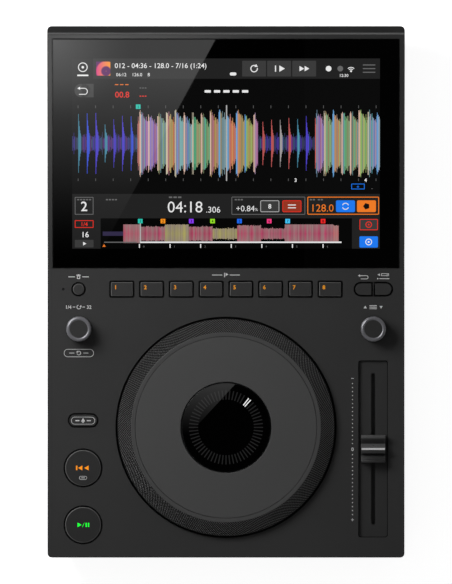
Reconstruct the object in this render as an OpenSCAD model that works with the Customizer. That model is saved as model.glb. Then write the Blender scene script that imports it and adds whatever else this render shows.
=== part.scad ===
// Tabletop media player for DJs: sloping touch screen, jog wheel, eight cue keys, tempo fader.
// Millimetres. Z is up from the table, X is right, Y runs back towards the screen.

/* [Case] */
// Width of the case
body_w = 252; // [250:1:262]
// Depth of the case, front to back
body_d = 375; // [373:1:390]
// Height of the deck above the table
deck_h = 64; // [62:0.5:70]
// Thickness of the deck and of the upper case walls
case_wall = 2.5; // [2.2:0.1:2.8]
// Corner radius of the case seen from above
corner_r = 3; // [2:0.5:6]
// Chamfer along the top edges of the case
edge_chamfer = 0.6; // [0.3:0.1:1]
// Height at which the upper and lower cases meet
split_h = 27; // [26:0.5:29]
// Wall and floor thickness of the lower case
lower_wall = 2.5; // [2:0.1:3]
// Step in from the upper case to the lower case
lower_step = 1; // [0.5:0.1:1.4]
// Further draw-in of the lower case walls down to its floor
lower_taper = 8; // [5:0.5:9]
// Height of the rubber feet
foot_h = 5; // [4:0.5:6]
// Radius of the rubber feet
foot_r = 10; // [8:0.5:11]
// Distance of the feet from the side edges of the case
foot_side = 28; // [26:1:34]
// Distance of the front feet from the front edge
foot_front = 27.5; // [25:1:32]
// Distance of the rear feet from the rear edge
foot_back = 57.5; // [54:1:64]

/* [Screen] */
// Slope of the screen above level
screen_tilt = 9; // [8:0.5:10]
// Distance from the front edge of the case to the front edge of the screen
screen_front = 204.1; // [203.5:0.1:205]
// Distance from the top ridge to the rear edge of the case
ridge_setback = 6.1; // [5:0.1:8]
// Height of the steep slope behind the ridge
rear_slope_h = 13.1; // [11:0.1:15]
// Width of the frame beside the glass
bezel_side = 3.4; // [3:0.1:4]
// Width of the frame between the glass and the ridge
bezel_back = 2.9; // [2.5:0.1:4]
// Thickness of the screen frame
bezel_t = 3; // [2.8:0.1:3.4]
// Width of the ledge that carries the glass
ledge_w = 5.5; // [5:0.1:6]
// Thickness of the cover glass
glass_t = 1.8; // [1.5:0.1:2]
// Gap round the glass
glass_gap = 0.5; // [0.3:0.1:0.7]
// Distance from each side of the glass frame to the display module
lcd_side = 7.85; // [7.5:0.05:9]
// Distance from each end of the glass frame to the display module
lcd_end = 7.5; // [7:0.1:8.5]
// Thickness of the display module
lcd_t = 4; // [3:0.5:5]
// Dark border beside the lit area of the display
active_side = 6.25; // [5:0.05:8]
// Dark border before and behind the lit area of the display
active_end = 6.7; // [5:0.1:8]
// Sheet thickness of the bracket behind the display
bracket_t = 1; // [0.8:0.1:1.2]

/* [Jog wheel] */
// Distance from the front edge of the case to the centre of the jog wheel
jog_front = 92; // [91:0.5:93]
// Radius of the opening in the deck
jog_hole_r = 77.7; // [77.4:0.1:78.5]
// Running gap between the wheel and the opening
jog_gap = 0.9; // [0.7:0.1:1.2]
// Height of the wheel's top above the deck
jog_rise = 11; // [10:0.5:12]
// Radius where the sloping grip band meets the flat rim
grip_top_r = 67.1; // [66.5:0.1:68]
// Drop of the grip band from the flat rim to its outer edge
grip_drop = 6.9; // [6:0.1:7.5]
// Radius of the inner edge of the flat rim
rim_in_r = 64.2; // [63.5:0.1:64.8]
// Thickness of the platter plate
platter_t = 2.2; // [1.8:0.1:2.6]
// Radius of the window over the centre display
lens_r = 31.4; // [31:0.1:31.8]
// Thickness of that window
lens_t = 2; // [1.5:0.1:2.4]
// Gap round the window
lens_gap = 0.6; // [0.4:0.1:0.8]
// Ball circle radius of the wheel bearing
ball_circle_r = 28; // [27.8:0.1:28.2]
// Radius of the bearing balls
ball_r = 1.5; // [1.3:0.05:1.6]
// Number of balls
ball_count = 24; // [16:1:28]
// Width of the bearing races
race_h = 7; // [6:0.5:8]
// Number of slots in the encoder disc
disc_slots = 60; // [40:4:72]
// Width of the encoder disc from the hub to its edge
disc_w = 9; // [8:0.5:10]

/* [Keys] */
// Height of the key tops above the deck
key_rise = 1.2; // [1:0.1:1.6]
// Travel of every key
key_travel = 1; // [0.8:0.1:1.2]
// Gap between each key and its opening
key_gap = 0.8; // [0.6:0.05:1]
// Distance from the front edge of the case to the row of keys
row_front = 189.5; // [189:0.1:190]
// Land between two cue key openings
cue_key_land = 3.9; // [3.4:0.1:5]
// Depth of a cue key opening
cue_key_d = 11.5; // [10.5:0.1:12]
// Width of the deck at each side of the row of cue keys
cue_row_side = 42; // [41:0.5:44]
// Radius of the delete key opening
delete_r = 4.75; // [4.4:0.05:5.2]
// Distance of the delete key from the left edge
delete_side = 21.9; // [21:0.1:23]
// Width of the back and tag key openings
pair_w = 13; // [12.4:0.1:13.2]
// Depth of the back and tag key openings
pair_d = 9.8; // [9:0.1:10.5]
// Distance from the middle of the pair to the right edge
pair_side = 22; // [21.5:0.1:22.5]
// Land between the back and tag key openings
pair_land = 1.1; // [1:0.1:1.6]
// Width of the shift key opening
shift_w = 21; // [20:0.1:22]
// Depth of the shift key opening
shift_d = 9.6; // [9:0.1:10.4]
// Distance of the shift key from the front edge
shift_front = 96.9; // [95:0.5:99]
// Radius of the openings of the two round transport keys
round_key_r = 13.4; // [13:0.1:13.8]
// Distance of the transport and shift keys from the left edge
round_key_side = 25.1; // [24.6:0.1:26]
// Distance of the cue key from the front edge
cue_front = 63.3; // [62.5:0.1:64]
// Distance of the play key from the front edge
play_front = 23.1; // [22.8:0.1:23.6]

/* [Knobs] */
// Distance of the knobs from the side edges
knob_side = 22.1; // [21.5:0.1:23]
// Distance of the knobs from the front edge
knob_front = 161.4; // [160:0.2:163]
// Largest radius of a knob
knob_r = 9.1; // [8.6:0.1:9.6]
// Radius of a knob's top face
knob_top_r = 6.6; // [6.2:0.1:7]
// Height of a knob
knob_h = 12.8; // [11.5:0.1:14]
// Gap between a knob and the deck
knob_gap = 1; // [0.8:0.1:1.4]
// Push travel of a knob
knob_travel = 0.5; // [0.3:0.05:0.6]
// Radius of the knob shafts
shaft_r = 3; // [2.8:0.05:3.1]
// Number of grip flutes round a knob
flute_count = 20; // [12:1:24]

/* [Tempo fader] */
// Distance of the fader from the right edge
fader_side = 22.1; // [21.8:0.1:23]
// Distance of the fader's middle from the front edge
fader_front = 76.7; // [76:0.1:77.5]
// Travel of the fader
fader_travel = 100; // [90:1:101]
// Width of the fader recess
recess_w = 20.9; // [20:0.1:21.5]
// Length of the fader recess
recess_l = 125; // [123:0.5:126]
// Width of the slot in the recess floor
slot_w = 2.75; // [2.5:0.05:3]
// Thickness of the recess floor
plate_t = 2; // [1.6:0.1:2.2]
// Width of the fader cap
cap_w = 17.1; // [16:0.1:17.6]
// Length of the fader cap along its travel
cap_l = 19.7; // [18:0.1:21]
// Height of the fader cap
cap_h = 9.7; // [8.5:0.1:11]
// Thickness of the fader lever
lever_t = 1.6; // [1.2:0.1:1.8]

/* [Rear panel] */
// Distance of the connector recess from each side of the case
bay_side = 12; // [11.5:0.5:14]
// Height of the lower edge of the connector recess
bay_bottom = 12; // [11:0.5:13]
// Height of the upper edge of the connector recess
bay_top = 48; // [46:0.5:50]
// Depth of the connector recess
bay_depth = 13; // [12:0.5:15]
// Thickness of the rear panel
panel_t = 1.5; // [1.2:0.1:2]
// Distance of the mains inlet from the right side of the case
inlet_side = 46; // [45:0.5:48]
// Distance of the power switch from the right side of the case
switch_side = 80; // [78:0.5:81]
// Angle of the rocker between off and on
rocker_swing = 18; // [14:1:20]
// Distance of the network socket from the middle
lan_x = 14; // [12:0.5:15]
// Distance of the square USB socket from the middle
usb_b_x = -8; // [-10:0.5:-7]
// Distance of the flat USB socket from the middle
usb_a_x = -30; // [-33:0.5:-28]
// Distance of the nearest phono jack from the middle
rca_x = -54; // [-56:0.5:-53]
// Spacing of the phono jacks
rca_pitch = 18; // [16:0.5:18.5]

/* [Boards] */
// Thickness of the circuit boards
board_t = 1.6; // [1.2:0.1:2]
// Drop from the deck to the top of the control board
control_drop = 10.4; // [10.2:0.1:11]
// Gap between the main board and the power supply
board_gap = 8; // [6:0.5:14]
// Depth of the main board
main_d = 120; // [110:1:124]
// Height of the board posts above the lower case floor
post_h = 7.5; // [6:0.5:8]
// Width of the power supply
supply_w = 62; // [58:1:64]
// Depth of the power supply
supply_d = 96; // [90:1:98]

/* [Hidden] */
$fn = 64;

// Overlap that makes two shapes of one piece join, and the overrun of a cut
join = 1;
// Radial clearance between nested round pieces of one assembly
fit = 0.05;
// Running clearance of shafts in their bores
run_fit = 0.1;
// Clearance between moving neighbours that never touch
clear = 0.3;

// Edges of the case
x_left = -body_w / 2;
x_right = body_w / 2;
y_front = -body_d / 2;
y_back = body_d / 2;
under_deck = deck_h - case_wall;
floor_top = foot_h + lower_wall;

// Screen slope, measured along Y from its front edge
screen_y = y_front + screen_front;
ridge_y = y_back - ridge_setback;
ridge_z = deck_h + (ridge_y - screen_y) * tan(screen_tilt);
slope_l = (ridge_y - screen_y) / cos(screen_tilt);
rear_angle = atan2(rear_slope_h, ridge_setback);
glass_half = body_w / 2 - bezel_side;
glass_end = slope_l - bezel_back;
glass_mid = glass_end / 2;
lcd_w = 2 * (glass_half - lcd_side);
lcd_d = glass_end - 2 * lcd_end;
active_w = lcd_w - 2 * active_side;
active_d = lcd_d - 2 * active_end;
lcd_top = -glass_t;
lcd_bottom = lcd_top - lcd_t;
lit_recess = 0.3;
shelf_d = ledge_w + 2;
shelf_t = 2.6;

// Levels of the jog wheel, from the top down
jog_y = y_front + jog_front;
jog_top = deck_h + jog_rise;
platter_z = jog_top - platter_t;
web_t = 2.2;
web_z = platter_z - web_t;
flange_z = web_z - 2;
ring_r = jog_hole_r - jog_gap;
skirt_t = 2;
skirt_z = deck_h - 6;
grip_low_z = jog_top - grip_drop;
hub_in_r = lens_r + 1;
hub_t = 2.6;
race_gap = 0.3;
groove_r = ball_r + race_gap;
race_t = 4;
cage_t = 1;
race_mid_z = deck_h - 10.5;
race_z = race_mid_z - race_h / 2;
inner_race_r = ball_circle_r - 0.8;
outer_race_r = ball_circle_r + 0.8;
post_r = ball_circle_r - race_t;
hub_seat_r = ball_circle_r + race_t;
hub_out_r = hub_seat_r + hub_t + 0.4;
disc_r = hub_out_r + disc_w;
web_lip_r = rim_in_r - 6.2;
jog_plate_t = 2;
jog_plate_z = deck_h - 24;
jog_plate_r = disc_r + 9;
post_foot_z = jog_plate_z + jog_plate_t;
disc_t = 1;
disc_z = race_z + 1;
cup_z = race_z + race_h + 1.6;
cup_r = lens_r - 0.2;
cup_ledge_z = jog_top - lens_t - 7;
jog_post_spread = 62;
jog_post_r = 4;

// Keys
key_top = deck_h + key_rise;
key_flange_t = 1.2;
key_flange_top = under_deck - 0.2;
key_flange_w = 1;
key_edge = 0.5;
stem_r = 1.5;
control_top = deck_h - control_drop;
switch_h = 4;
switch_w = 6;
switch_floor = 0.6;
stem_end = control_top + switch_floor + key_travel + clear;
row_y = y_front + row_front;
delete_x = x_left + delete_side;
pair_x = x_right - pair_side;
back_x = pair_x - pair_land / 2 - pair_w / 2;
tag_x = pair_x + pair_land / 2 + pair_w / 2;
round_x = x_left + round_key_side;
shift_y = y_front + shift_front;
cue_y = y_front + cue_front;
play_y = y_front + play_front;
cue_key_count = 8;
cue_key_pitch = (body_w - 2 * cue_row_side) / cue_key_count;
cue_key_w = cue_key_pitch - cue_key_land;
function cue_key_x(i) = (i - (cue_key_count - 1) / 2) * cue_key_pitch;
key_places = concat(
    [for (i = [0:cue_key_count - 1]) [cue_key_x(i), row_y]],
    [[delete_x, row_y], [back_x, row_y], [tag_x, row_y]],
    [[round_x, shift_y], [round_x, cue_y], [round_x, play_y]]
);

// Knobs and their encoders
loop_x = x_left + knob_side;
browse_x = x_right - knob_side;
knob_y = y_front + knob_front;
knob_z = deck_h + knob_gap;
encoder_w = 12.5;
encoder_h = 6.4;
bushing_r = 4.5;
bushing_top = deck_h + 3;
nut_r = 6.4;
nut_h = 1.8;
encoder_floor = 0.7;
plunger_t = 1;
plunger_z = control_top + encoder_floor + knob_travel + 0.1;
shaft_z = plunger_z + plunger_t;
knob_hub_z = bushing_top + knob_travel + clear - knob_z;
knob_roof = 2.2;
knob_shoulder_h = knob_h - 1.3;
knob_shoulder_r = knob_top_r + 1.2;
flute_r = 0.8;
flute_depth = 0.45;

// Tempo fader
fader_x = x_right - fader_side;
fader_y = y_front + fader_front;
plate_lip = 2;
plate_z = under_deck - plate_t;
fader_body_w = 9.5;
fader_end = 4;
carriage_l = 8;
carriage_w = 7.1;
carriage_h = 2.8;
fader_skin = 0.9;
track_l = fader_travel + carriage_l + 2;
lever_l = 5;
slot_l = fader_travel + lever_l + 2;
cap_z = under_deck + 0.8;
lever_top = cap_z + cap_h - 2;

// Rear recess and what stands in it
panel_y = y_back - bay_depth - panel_t;
panel_face = panel_y + panel_t;
bay_w = body_w - 2 * bay_side;
bay_wall = 2;
inlet_x = x_right - inlet_side;
switch_x = x_right - switch_side;
board_z = floor_top + post_h;
board_top = board_z + board_t;
main_x = x_left + 26;
main_y = panel_y - 1 - main_d;
supply_x = x_right - 30 - supply_w;
supply_y = panel_y - 25 - supply_d;
main_w = supply_x - board_gap - main_x;
socket_gap = 0.3;
rca_z = board_top + 6;
rca_r = 4.15;
rca_out = 9;
rca_count = 3;
inlet_z = 30;
switch_w_x = 14;
switch_h_z = 21;
rocker_w = 11;
rocker_l = 17;
rocker_pin_r = 1;

// Case screws: [x, y] of the three on the right, mirrored to the left
screw_places = [
    [78, y_front + 19.5],
    [x_right - 16, screen_y + 7.4],
    [x_right - 18, y_back - 32.5]
];
screw_post_r = 5;
screw_r = 1.5;
screw_head_r = 3.5;
screw_head_h = 2.4;
screw_seat_z = split_h - 7;
screw_l = 17;
screw_post_tops = [under_deck + join, split_h + 28, split_h + 33];

// ---------------------------------------------------------------- shared outlines

// Rectangle with round corners, centred on the origin
module rounded_rect(w, d, r, steps = 5) {
    signs = [[1, 1], [-1, 1], [-1, -1], [1, -1]];
    polygon([
        for (i = [0:3], k = [0:steps])
            [signs[i][0] * (w / 2 - r) + r * cos(90 * (i + k / steps)),
             signs[i][1] * (d / 2 - r) + r * sin(90 * (i + k / steps))]
    ]);
}

// Slot shape with two round ends, centred on the origin
module pill(w, d, steps = 16) {
    r = d / 2;
    polygon([
        for (i = [0:1], k = [0:steps])
            [(1 - 2 * i) * (w / 2 - r) + r * cos(180 * (i + k / steps) - 90),
             r * sin(180 * (i + k / steps) - 90)]
    ]);
}

// Half pill: round on one side, square on the other; side is 1 for a round right end
module half_pill(w, d, side, steps = 16) {
    r = d / 2;
    mirror([side < 0 ? 1 : 0, 0])
        polygon(concat(
            [[-w / 2, r], [-w / 2, -r]],
            [for (k = [0:steps]) [w / 2 - r + r * cos(180 * k / steps - 90), r * sin(180 * k / steps - 90)]]
        ));
}

// Extrudes an outline drawn in Y and Z from x0 to x1
module along_x(x0, x1) {
    translate([x0, 0, 0]) rotate([90, 0, 90]) linear_extrude(x1 - x0) children();
}

// Extrudes an outline drawn in X and Z from y0 to y1
module along_y(y0, y1) {
    translate([0, y1, 0]) rotate([90, 0, 0]) linear_extrude(y1 - y0) children();
}

// Box between two corners
module box(low, high) {
    translate(low) cube(high - low);
}

// Places children on the screen slope: X across, Y up the slope, Z out of the screen
module on_slope() {
    translate([0, screen_y, deck_h]) rotate([screen_tilt, 0, 0]) children();
}

// Places children at the jog wheel's axis
module at_jog() {
    translate([0, jog_y, 0]) children();
}

// Places children at each case screw
module at_screws() {
    for (s = [-1, 1], p = screw_places)
        translate([s * p[0], p[1], 0]) children();
}

// ---------------------------------------------------------------- case

// Height of the plane on which the screen frame sits
function seat_z(y) = deck_h + (y - screen_y) * tan(screen_tilt) - bezel_t / cos(screen_tilt);

// Whole upper body: plan, side view and chamfered side edges
module upper_block() {
    back_cut = edge_chamfer / 2;
    difference() {
        intersection() {
            translate([0, 0, split_h]) linear_extrude(ridge_z) rounded_rect(body_w, body_d, corner_r);
            along_x(x_left - join, x_right + join)
                polygon([
                    [y_front - join, split_h],
                    [y_front - join, deck_h - edge_chamfer - join],
                    [y_front + edge_chamfer, deck_h],
                    [screen_y, deck_h],
                    [ridge_y - back_cut, ridge_z - back_cut * tan(screen_tilt)],
                    [ridge_y + back_cut * cos(rear_angle), ridge_z - back_cut * sin(rear_angle)],
                    [y_back, ridge_z - rear_slope_h],
                    [y_back + join, ridge_z - rear_slope_h - join * tan(rear_angle)],
                    [y_back + join, split_h]
                ]);
        }
        for (s = [-1, 1]) {
            side_edge = edge_chamfer * sqrt(2);
            translate([s * body_w / 2, (y_front + screen_y) / 2 - join, deck_h])
                rotate([0, 45, 0]) cube([side_edge, screen_front, side_edge], center = true);
            on_slope() translate([s * body_w / 2, slope_l / 2 + join, 0])
                rotate([0, 45, 0]) cube([side_edge, slope_l + 4 * join, side_edge], center = true);
        }
    }
}

// Everything above the seat plane, behind the front edge of the screen
module above_seat() {
    far = y_back + 5;
    along_x(x_left - 2 * join, x_right + 2 * join)
        polygon([
            [screen_y, seat_z(screen_y)],
            [far, seat_z(far)],
            [far, ridge_z + 5],
            [screen_y, ridge_z + 5]
        ]);
}

// Inside of the upper case in side view, with the shelf under the front of the screen left standing
module upper_cavity() {
    shelf_z = seat_z(screen_y) - shelf_t;
    over = ridge_z + 5;
    rear_y = y_back - case_wall;
    slope_wall = case_wall / sin(rear_angle);
    along_x(x_left + case_wall, x_right - case_wall)
        polygon([
            [y_front + case_wall, split_h - join],
            [y_front + case_wall, under_deck],
            [screen_y - 2, under_deck],
            [screen_y - 2, shelf_z],
            [screen_y + shelf_d, shelf_z],
            [screen_y + shelf_d, over],
            [ridge_y - (over - ridge_z) / tan(rear_angle) - slope_wall, over],
            [rear_y, ridge_z - (rear_y + slope_wall - ridge_y) * tan(rear_angle)],
            [rear_y, split_h - join]
        ]);
}

// Openings of the deck: keys, knobs, jog wheel, fader and a pin hole
module deck_openings() {
    for (i = [0:cue_key_count - 1])
        deck_cut(cue_key_x(i), row_y) rounded_rect(cue_key_w, cue_key_d, 1.2);
    deck_cut(delete_x, row_y) circle(delete_r);
    deck_cut(back_x, row_y) half_pill(pair_w, pair_d, -1);
    deck_cut(tag_x, row_y) half_pill(pair_w, pair_d, 1);
    deck_cut(round_x, shift_y) pill(shift_w, shift_d);
    deck_cut(round_x, cue_y) circle(round_key_r);
    deck_cut(round_x, play_y) circle(round_key_r);
    deck_cut(loop_x, knob_y) circle(bushing_r + clear);
    deck_cut(browse_x, knob_y) circle(bushing_r + clear);
    deck_cut(fader_x, fader_y) rounded_rect(recess_w, recess_l, 1.5);
    deck_cut(delete_x - delete_r - 6, row_y) circle(0.5);
    deck_cut(0, jog_y) circle(jog_hole_r);
}

// Cuts an outline through the deck at a place
module deck_cut(x, y) {
    translate([x, y, under_deck - join]) linear_extrude(case_wall + 2 * join) children();
}

// Posts under the deck that carry the control board: [x, y]
board_posts = [
    [x_left + 11, shift_y + 31],
    [x_left + 11, (cue_y + play_y) / 2],
    [fader_x - recess_w / 2 - 8, fader_y - 40],
    [fader_x - recess_w / 2 - 8, fader_y + 64],
    [-cue_key_pitch * 3, row_y - cue_key_d / 2 - 6],
    [cue_key_pitch * 3, row_y - cue_key_d / 2 - 6]
];
board_post_r = 3;

module top_case() {
    color([0.2, 0.2, 0.21])
        difference() {
            union() {
                difference() {
                    upper_block();
                    upper_cavity();
                    above_seat();
                }
                // Collar round the jog wheel
                at_jog() difference() {
                    translate([0, 0, skirt_z - 2])
                        cylinder(r = jog_hole_r + case_wall, h = deck_h - skirt_z + 1, $fn = 128);
                    translate([0, 0, skirt_z - 3]) cylinder(r = jog_hole_r, h = 20, $fn = 128);
                }
                // Legs of the jog plate
                for (sx = [-1, 1], sy = [-1, 1])
                    at_jog() translate([sx * jog_post_spread, sy * jog_post_spread, post_foot_z])
                        cylinder(r = jog_post_r, h = under_deck - post_foot_z + join);
                for (p = board_posts)
                    translate([p[0], p[1], control_top])
                        cylinder(r = board_post_r, h = under_deck - control_top + join);
                // Screw posts, the rear two pairs tied to the side walls by ribs
                for (s = [-1, 1], i = [0:2]) {
                    p = screw_places[i];
                    translate([s * p[0], p[1], split_h])
                        cylinder(r = screw_post_r, h = screw_post_tops[i] - split_h);
                    if (i > 0)
                        box([s > 0 ? p[0] : x_left + case_wall / 2, p[1] - 1.5, split_h + 3],
                            [s > 0 ? x_right - case_wall / 2 : -p[0], p[1] + 1.5, screw_post_tops[i] - 2]);
                }
            }
            deck_openings();
            box([-bay_w / 2, panel_face - join, split_h - join], [bay_w / 2, y_back + join, bay_top]);
            at_screws() translate([0, 0, split_h - join]) cylinder(r = screw_r + fit, h = screw_l - 4 + join);
        }
}

module screen_bezel() {
    color([0.24, 0.24, 0.25])
        difference() {
            intersection() {
                upper_block();
                above_seat();
            }
            on_slope() {
                box([-glass_half, -5, -glass_t], [glass_half, glass_end, 5]);
                box([-glass_half + ledge_w, ledge_w, -bezel_t - 5],
                    [glass_half - ledge_w, glass_end - ledge_w, 5]);
            }
        }
}

// Tapered block of the lower case, pulled in by an inset, from z0 to z1
module lower_block(inset, z0, z1) {
    top_x = body_w / 2 - lower_step - inset;
    top_y = body_d / 2 - lower_step - inset;
    lean = lower_taper / (split_h - foot_h);
    in0 = lean * (split_h - z0);
    in1 = lean * (split_h - z1);
    intersection() {
        along_y(y_front, y_back)
            polygon([[-top_x + in0, z0], [top_x - in0, z0], [top_x - in1, z1], [-top_x + in1, z1]]);
        along_x(x_left, x_right)
            polygon([[-top_y + in0, z0], [top_y - in0, z0], [top_y - in1, z1], [-top_y + in1, z1]]);
    }
}

main_posts = [for (x = [6, main_w - 6], y = [6, main_d - 14]) [main_x + x, main_y + y]];
supply_posts = [for (x = [5, supply_w - 5], y = [5, supply_d - 5]) [supply_x + x, supply_y + y]];
vent_count = 9;
vent_w = 3;
vent_pitch = 5.6;
vent_l = 44;

module bottom_case() {
    color([0.13, 0.13, 0.14])
        difference() {
            union() {
                difference() {
                    intersection() {
                        lower_block(0, foot_h, split_h);
                        translate([0, 0, foot_h]) linear_extrude(split_h)
                            rounded_rect(body_w - 2 * lower_step, body_d - 2 * lower_step, corner_r);
                    }
                    lower_block(lower_wall, floor_top, split_h + join);
                }
                at_screws() translate([0, 0, foot_h]) cylinder(r = screw_post_r + 0.5, h = split_h - foot_h);
                for (p = concat(main_posts, supply_posts))
                    translate([p[0], p[1], floor_top - join]) cylinder(r = 3, h = post_h + join);
            }
            box([-bay_w / 2, panel_face - join, bay_bottom], [bay_w / 2, y_back + join, split_h + join]);
            at_screws() {
                translate([0, 0, foot_h - join])
                    cylinder(r = screw_head_r + 0.4, h = screw_seat_z - foot_h + join);
                cylinder(r = screw_r + 0.4, h = split_h + join);
            }
            // Two banks of air slots in the floor
            for (i = [0:vent_count - 1], x = [main_x + main_w / 2, supply_x + supply_w / 2])
                translate([x + (i - (vent_count - 1) / 2) * vent_pitch, supply_y + supply_d / 2, foot_h - join])
                    linear_extrude(lower_wall + 2 * join) rotate(90) pill(vent_l, vent_w, 8);
        }
}

// Space inside the walls of both cases, behind the connectors
module inside_cases() {
    lower_block(lower_wall, floor_top, split_h);
    box([x_left + case_wall, panel_y, split_h], [x_right - case_wall, y_back - case_wall, ridge_z]);
}

// Tray of the connector recess: its floor, roof and ends run out to the case walls
module rear_panel() {
    color([0.1, 0.1, 0.11])
        difference() {
            intersection() {
                inside_cases();
                box([-bay_w / 2 - bay_wall, panel_y, bay_bottom - bay_wall],
                    [bay_w / 2 + bay_wall, y_back, bay_top + bay_wall]);
            }
            box([-bay_w / 2, panel_face, bay_bottom], [bay_w / 2, y_back + join, bay_top]);
            for (i = [0:rca_count - 1])
                panel_cut(rca_x - i * rca_pitch, rca_z) circle(rca_r + socket_gap);
            panel_cut(usb_a_x, usb_a_z) socket_outline(usb_a_w, usb_a_h);
            panel_cut(usb_b_x, usb_b_z) socket_outline(usb_b_w, usb_b_h);
            panel_cut(lan_x, lan_z) socket_outline(lan_w, lan_h);
            panel_cut(inlet_x, inlet_z) socket_outline(inlet_w, inlet_h);
            panel_cut(switch_x, inlet_z) socket_outline(switch_w_x, switch_h_z);
        }
}

// Cuts an outline drawn in X and Z through the rear panel
module panel_cut(x, z) {
    translate([x, 0, z]) along_y(panel_y - join, panel_face + join) children();
}

// Hole for a square-cornered socket, with its gap all round
module socket_outline(w, h) {
    square([w + 2 * socket_gap, h + 2 * socket_gap], center = true);
}

module rubber_feet() {
    color([0.06, 0.06, 0.06])
        for (s = [-1, 1], y = [y_front + foot_front, y_back - foot_back])
            translate([s * (body_w / 2 - foot_side), y, 0])
                rotate_extrude() polygon([[0, 0], [foot_r - 1, 0], [foot_r, 1], [foot_r, foot_h], [0, foot_h]]);
}

module case_screws() {
    color([0.15, 0.15, 0.16])
        at_screws() difference() {
            union() {
                translate([0, 0, screw_seat_z - screw_head_h]) cylinder(r = screw_head_r, h = screw_head_h);
                translate([0, 0, screw_seat_z - join]) cylinder(r = screw_r, h = screw_l - 1);
            }
            translate([0, 0, screw_seat_z - screw_head_h - join]) cylinder(r = 1.4, h = 2.4, $fn = 6);
        }
}

// ---------------------------------------------------------------- screen

module screen_glass() {
    color([0.02, 0.02, 0.02])
        on_slope()
            box([-glass_half + glass_gap, glass_gap, -glass_t],
                [glass_half - glass_gap, glass_end - glass_gap, 0]);
}

module lcd_module() {
    color([0.3, 0.3, 0.32])
        on_slope() difference() {
            box([-lcd_w / 2, glass_mid - lcd_d / 2, lcd_bottom],
                [lcd_w / 2, glass_mid + lcd_d / 2, lcd_top]);
            box([-active_w / 2, glass_mid - active_d / 2, lcd_top - lit_recess],
                [active_w / 2, glass_mid + active_d / 2, lcd_top + join]);
        }
}

// Hat-section sheet bracket: back plate, two side walls and two flanges under the ledge
module lcd_bracket() {
    wall_x = lcd_w / 2 + 0.4;
    flange_x = glass_half - 1.2;
    back_n = lcd_bottom - bracket_t;
    rail_n = -bezel_t - bracket_t;
    window = [lcd_w / 2 - 24, lcd_d - 50];
    color([0.7, 0.7, 0.7])
        on_slope() difference() {
            translate([0, glass_mid, 0]) along_y(-lcd_d / 2 + 6, lcd_d / 2 - 6)
                polygon([
                    [-flange_x, -bezel_t], [-flange_x, rail_n], [-wall_x - bracket_t, rail_n],
                    [-wall_x - bracket_t, back_n], [wall_x + bracket_t, back_n],
                    [wall_x + bracket_t, rail_n], [flange_x, rail_n], [flange_x, -bezel_t],
                    [wall_x, -bezel_t], [wall_x, lcd_bottom], [-wall_x, lcd_bottom], [-wall_x, -bezel_t]
                ]);
            for (s = [-1, 1])
                translate([s * (window[0] / 2 + 8), glass_mid, back_n - join])
                    linear_extrude(bracket_t + 2 * join) rounded_rect(window[0], window[1], 5);
        }
}

// ---------------------------------------------------------------- jog wheel

// Rim with the sloping grip band and the skirt that runs inside the collar
module jog_ring() {
    color([0.23, 0.23, 0.24])
        at_jog() rotate_extrude($fn = 180) polygon([
            [rim_in_r, jog_top],
            [grip_top_r, jog_top],
            [ring_r - 0.4, grip_low_z + 0.2],
            [ring_r, grip_low_z - 0.4],
            [ring_r, skirt_z],
            [ring_r - skirt_t, skirt_z],
            [ring_r - skirt_t, grip_low_z - 1],
            [ring_r - skirt_t - 5.2, web_z],
            [web_lip_r, web_z],
            [web_lip_r, platter_z],
            [rim_in_r, platter_z]
        ]);
}

module jog_platter() {
    color([0.27, 0.27, 0.28])
        at_jog() rotate_extrude($fn = 128) polygon([
            [lens_r + lens_gap, platter_z],
            [rim_in_r - 0.2, platter_z],
            [rim_in_r - 0.2, jog_top - 0.2],
            [rim_in_r - 0.4, jog_top],
            [lens_r + lens_gap + 0.3, jog_top],
            [lens_r + lens_gap, jog_top - 0.3]
        ]);
}

// Hub: web under the platter, flange under the rim and the sleeve that carries the bearing and the disc
module jog_hub() {
    race_top = race_z + race_h;
    color([0.5, 0.5, 0.52])
        at_jog() rotate_extrude($fn = 128) polygon([
            [hub_in_r, platter_z],
            [web_lip_r - 0.2, platter_z],
            [web_lip_r - 0.2, web_z],
            [rim_in_r, web_z],
            [rim_in_r, flange_z],
            [hub_out_r + 3, flange_z],
            [hub_out_r, flange_z - 3],
            [hub_out_r, disc_z + disc_t + 2],
            [hub_out_r + 3, disc_z + disc_t + 2],
            [hub_out_r + 3, disc_z + disc_t],
            [hub_out_r, disc_z + disc_t],
            [hub_out_r, race_z - 0.6],
            [hub_seat_r, race_z - 0.6],
            [hub_seat_r, race_top],
            [hub_seat_r - 1.4, race_top],
            [hub_seat_r - 1.4, race_top + 0.8],
            [hub_in_r, race_top + 0.8]
        ]);
}

module encoder_disc() {
    color([0.75, 0.75, 0.78])
        at_jog() translate([0, 0, disc_z]) linear_extrude(disc_t) difference() {
            circle(disc_r, $fn = 128);
            circle(hub_out_r + fit, $fn = 128);
            for (i = [0:disc_slots - 1])
                rotate(360 * i / disc_slots) translate([disc_r - 5, -0.6]) square([3.8, 1.2]);
        }
}

// One bearing race between two radii, grooved at the ball circle
module race(in_r, out_r) {
    at_jog() rotate_extrude($fn = 128) difference() {
        translate([in_r, race_z]) square([out_r - in_r, race_h]);
        translate([ball_circle_r, race_mid_z]) circle(groove_r);
    }
}

module bearing_inner_race() {
    color([0.8, 0.8, 0.82]) race(post_r + fit, inner_race_r);
}

module bearing_outer_race() {
    color([0.8, 0.8, 0.82]) race(outer_race_r, hub_seat_r - fit);
}

// Places children at each ball
module at_balls() {
    at_jog() for (i = [0:ball_count - 1])
        rotate(360 * i / ball_count) translate([ball_circle_r, 0, race_mid_z]) children();
}

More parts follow.
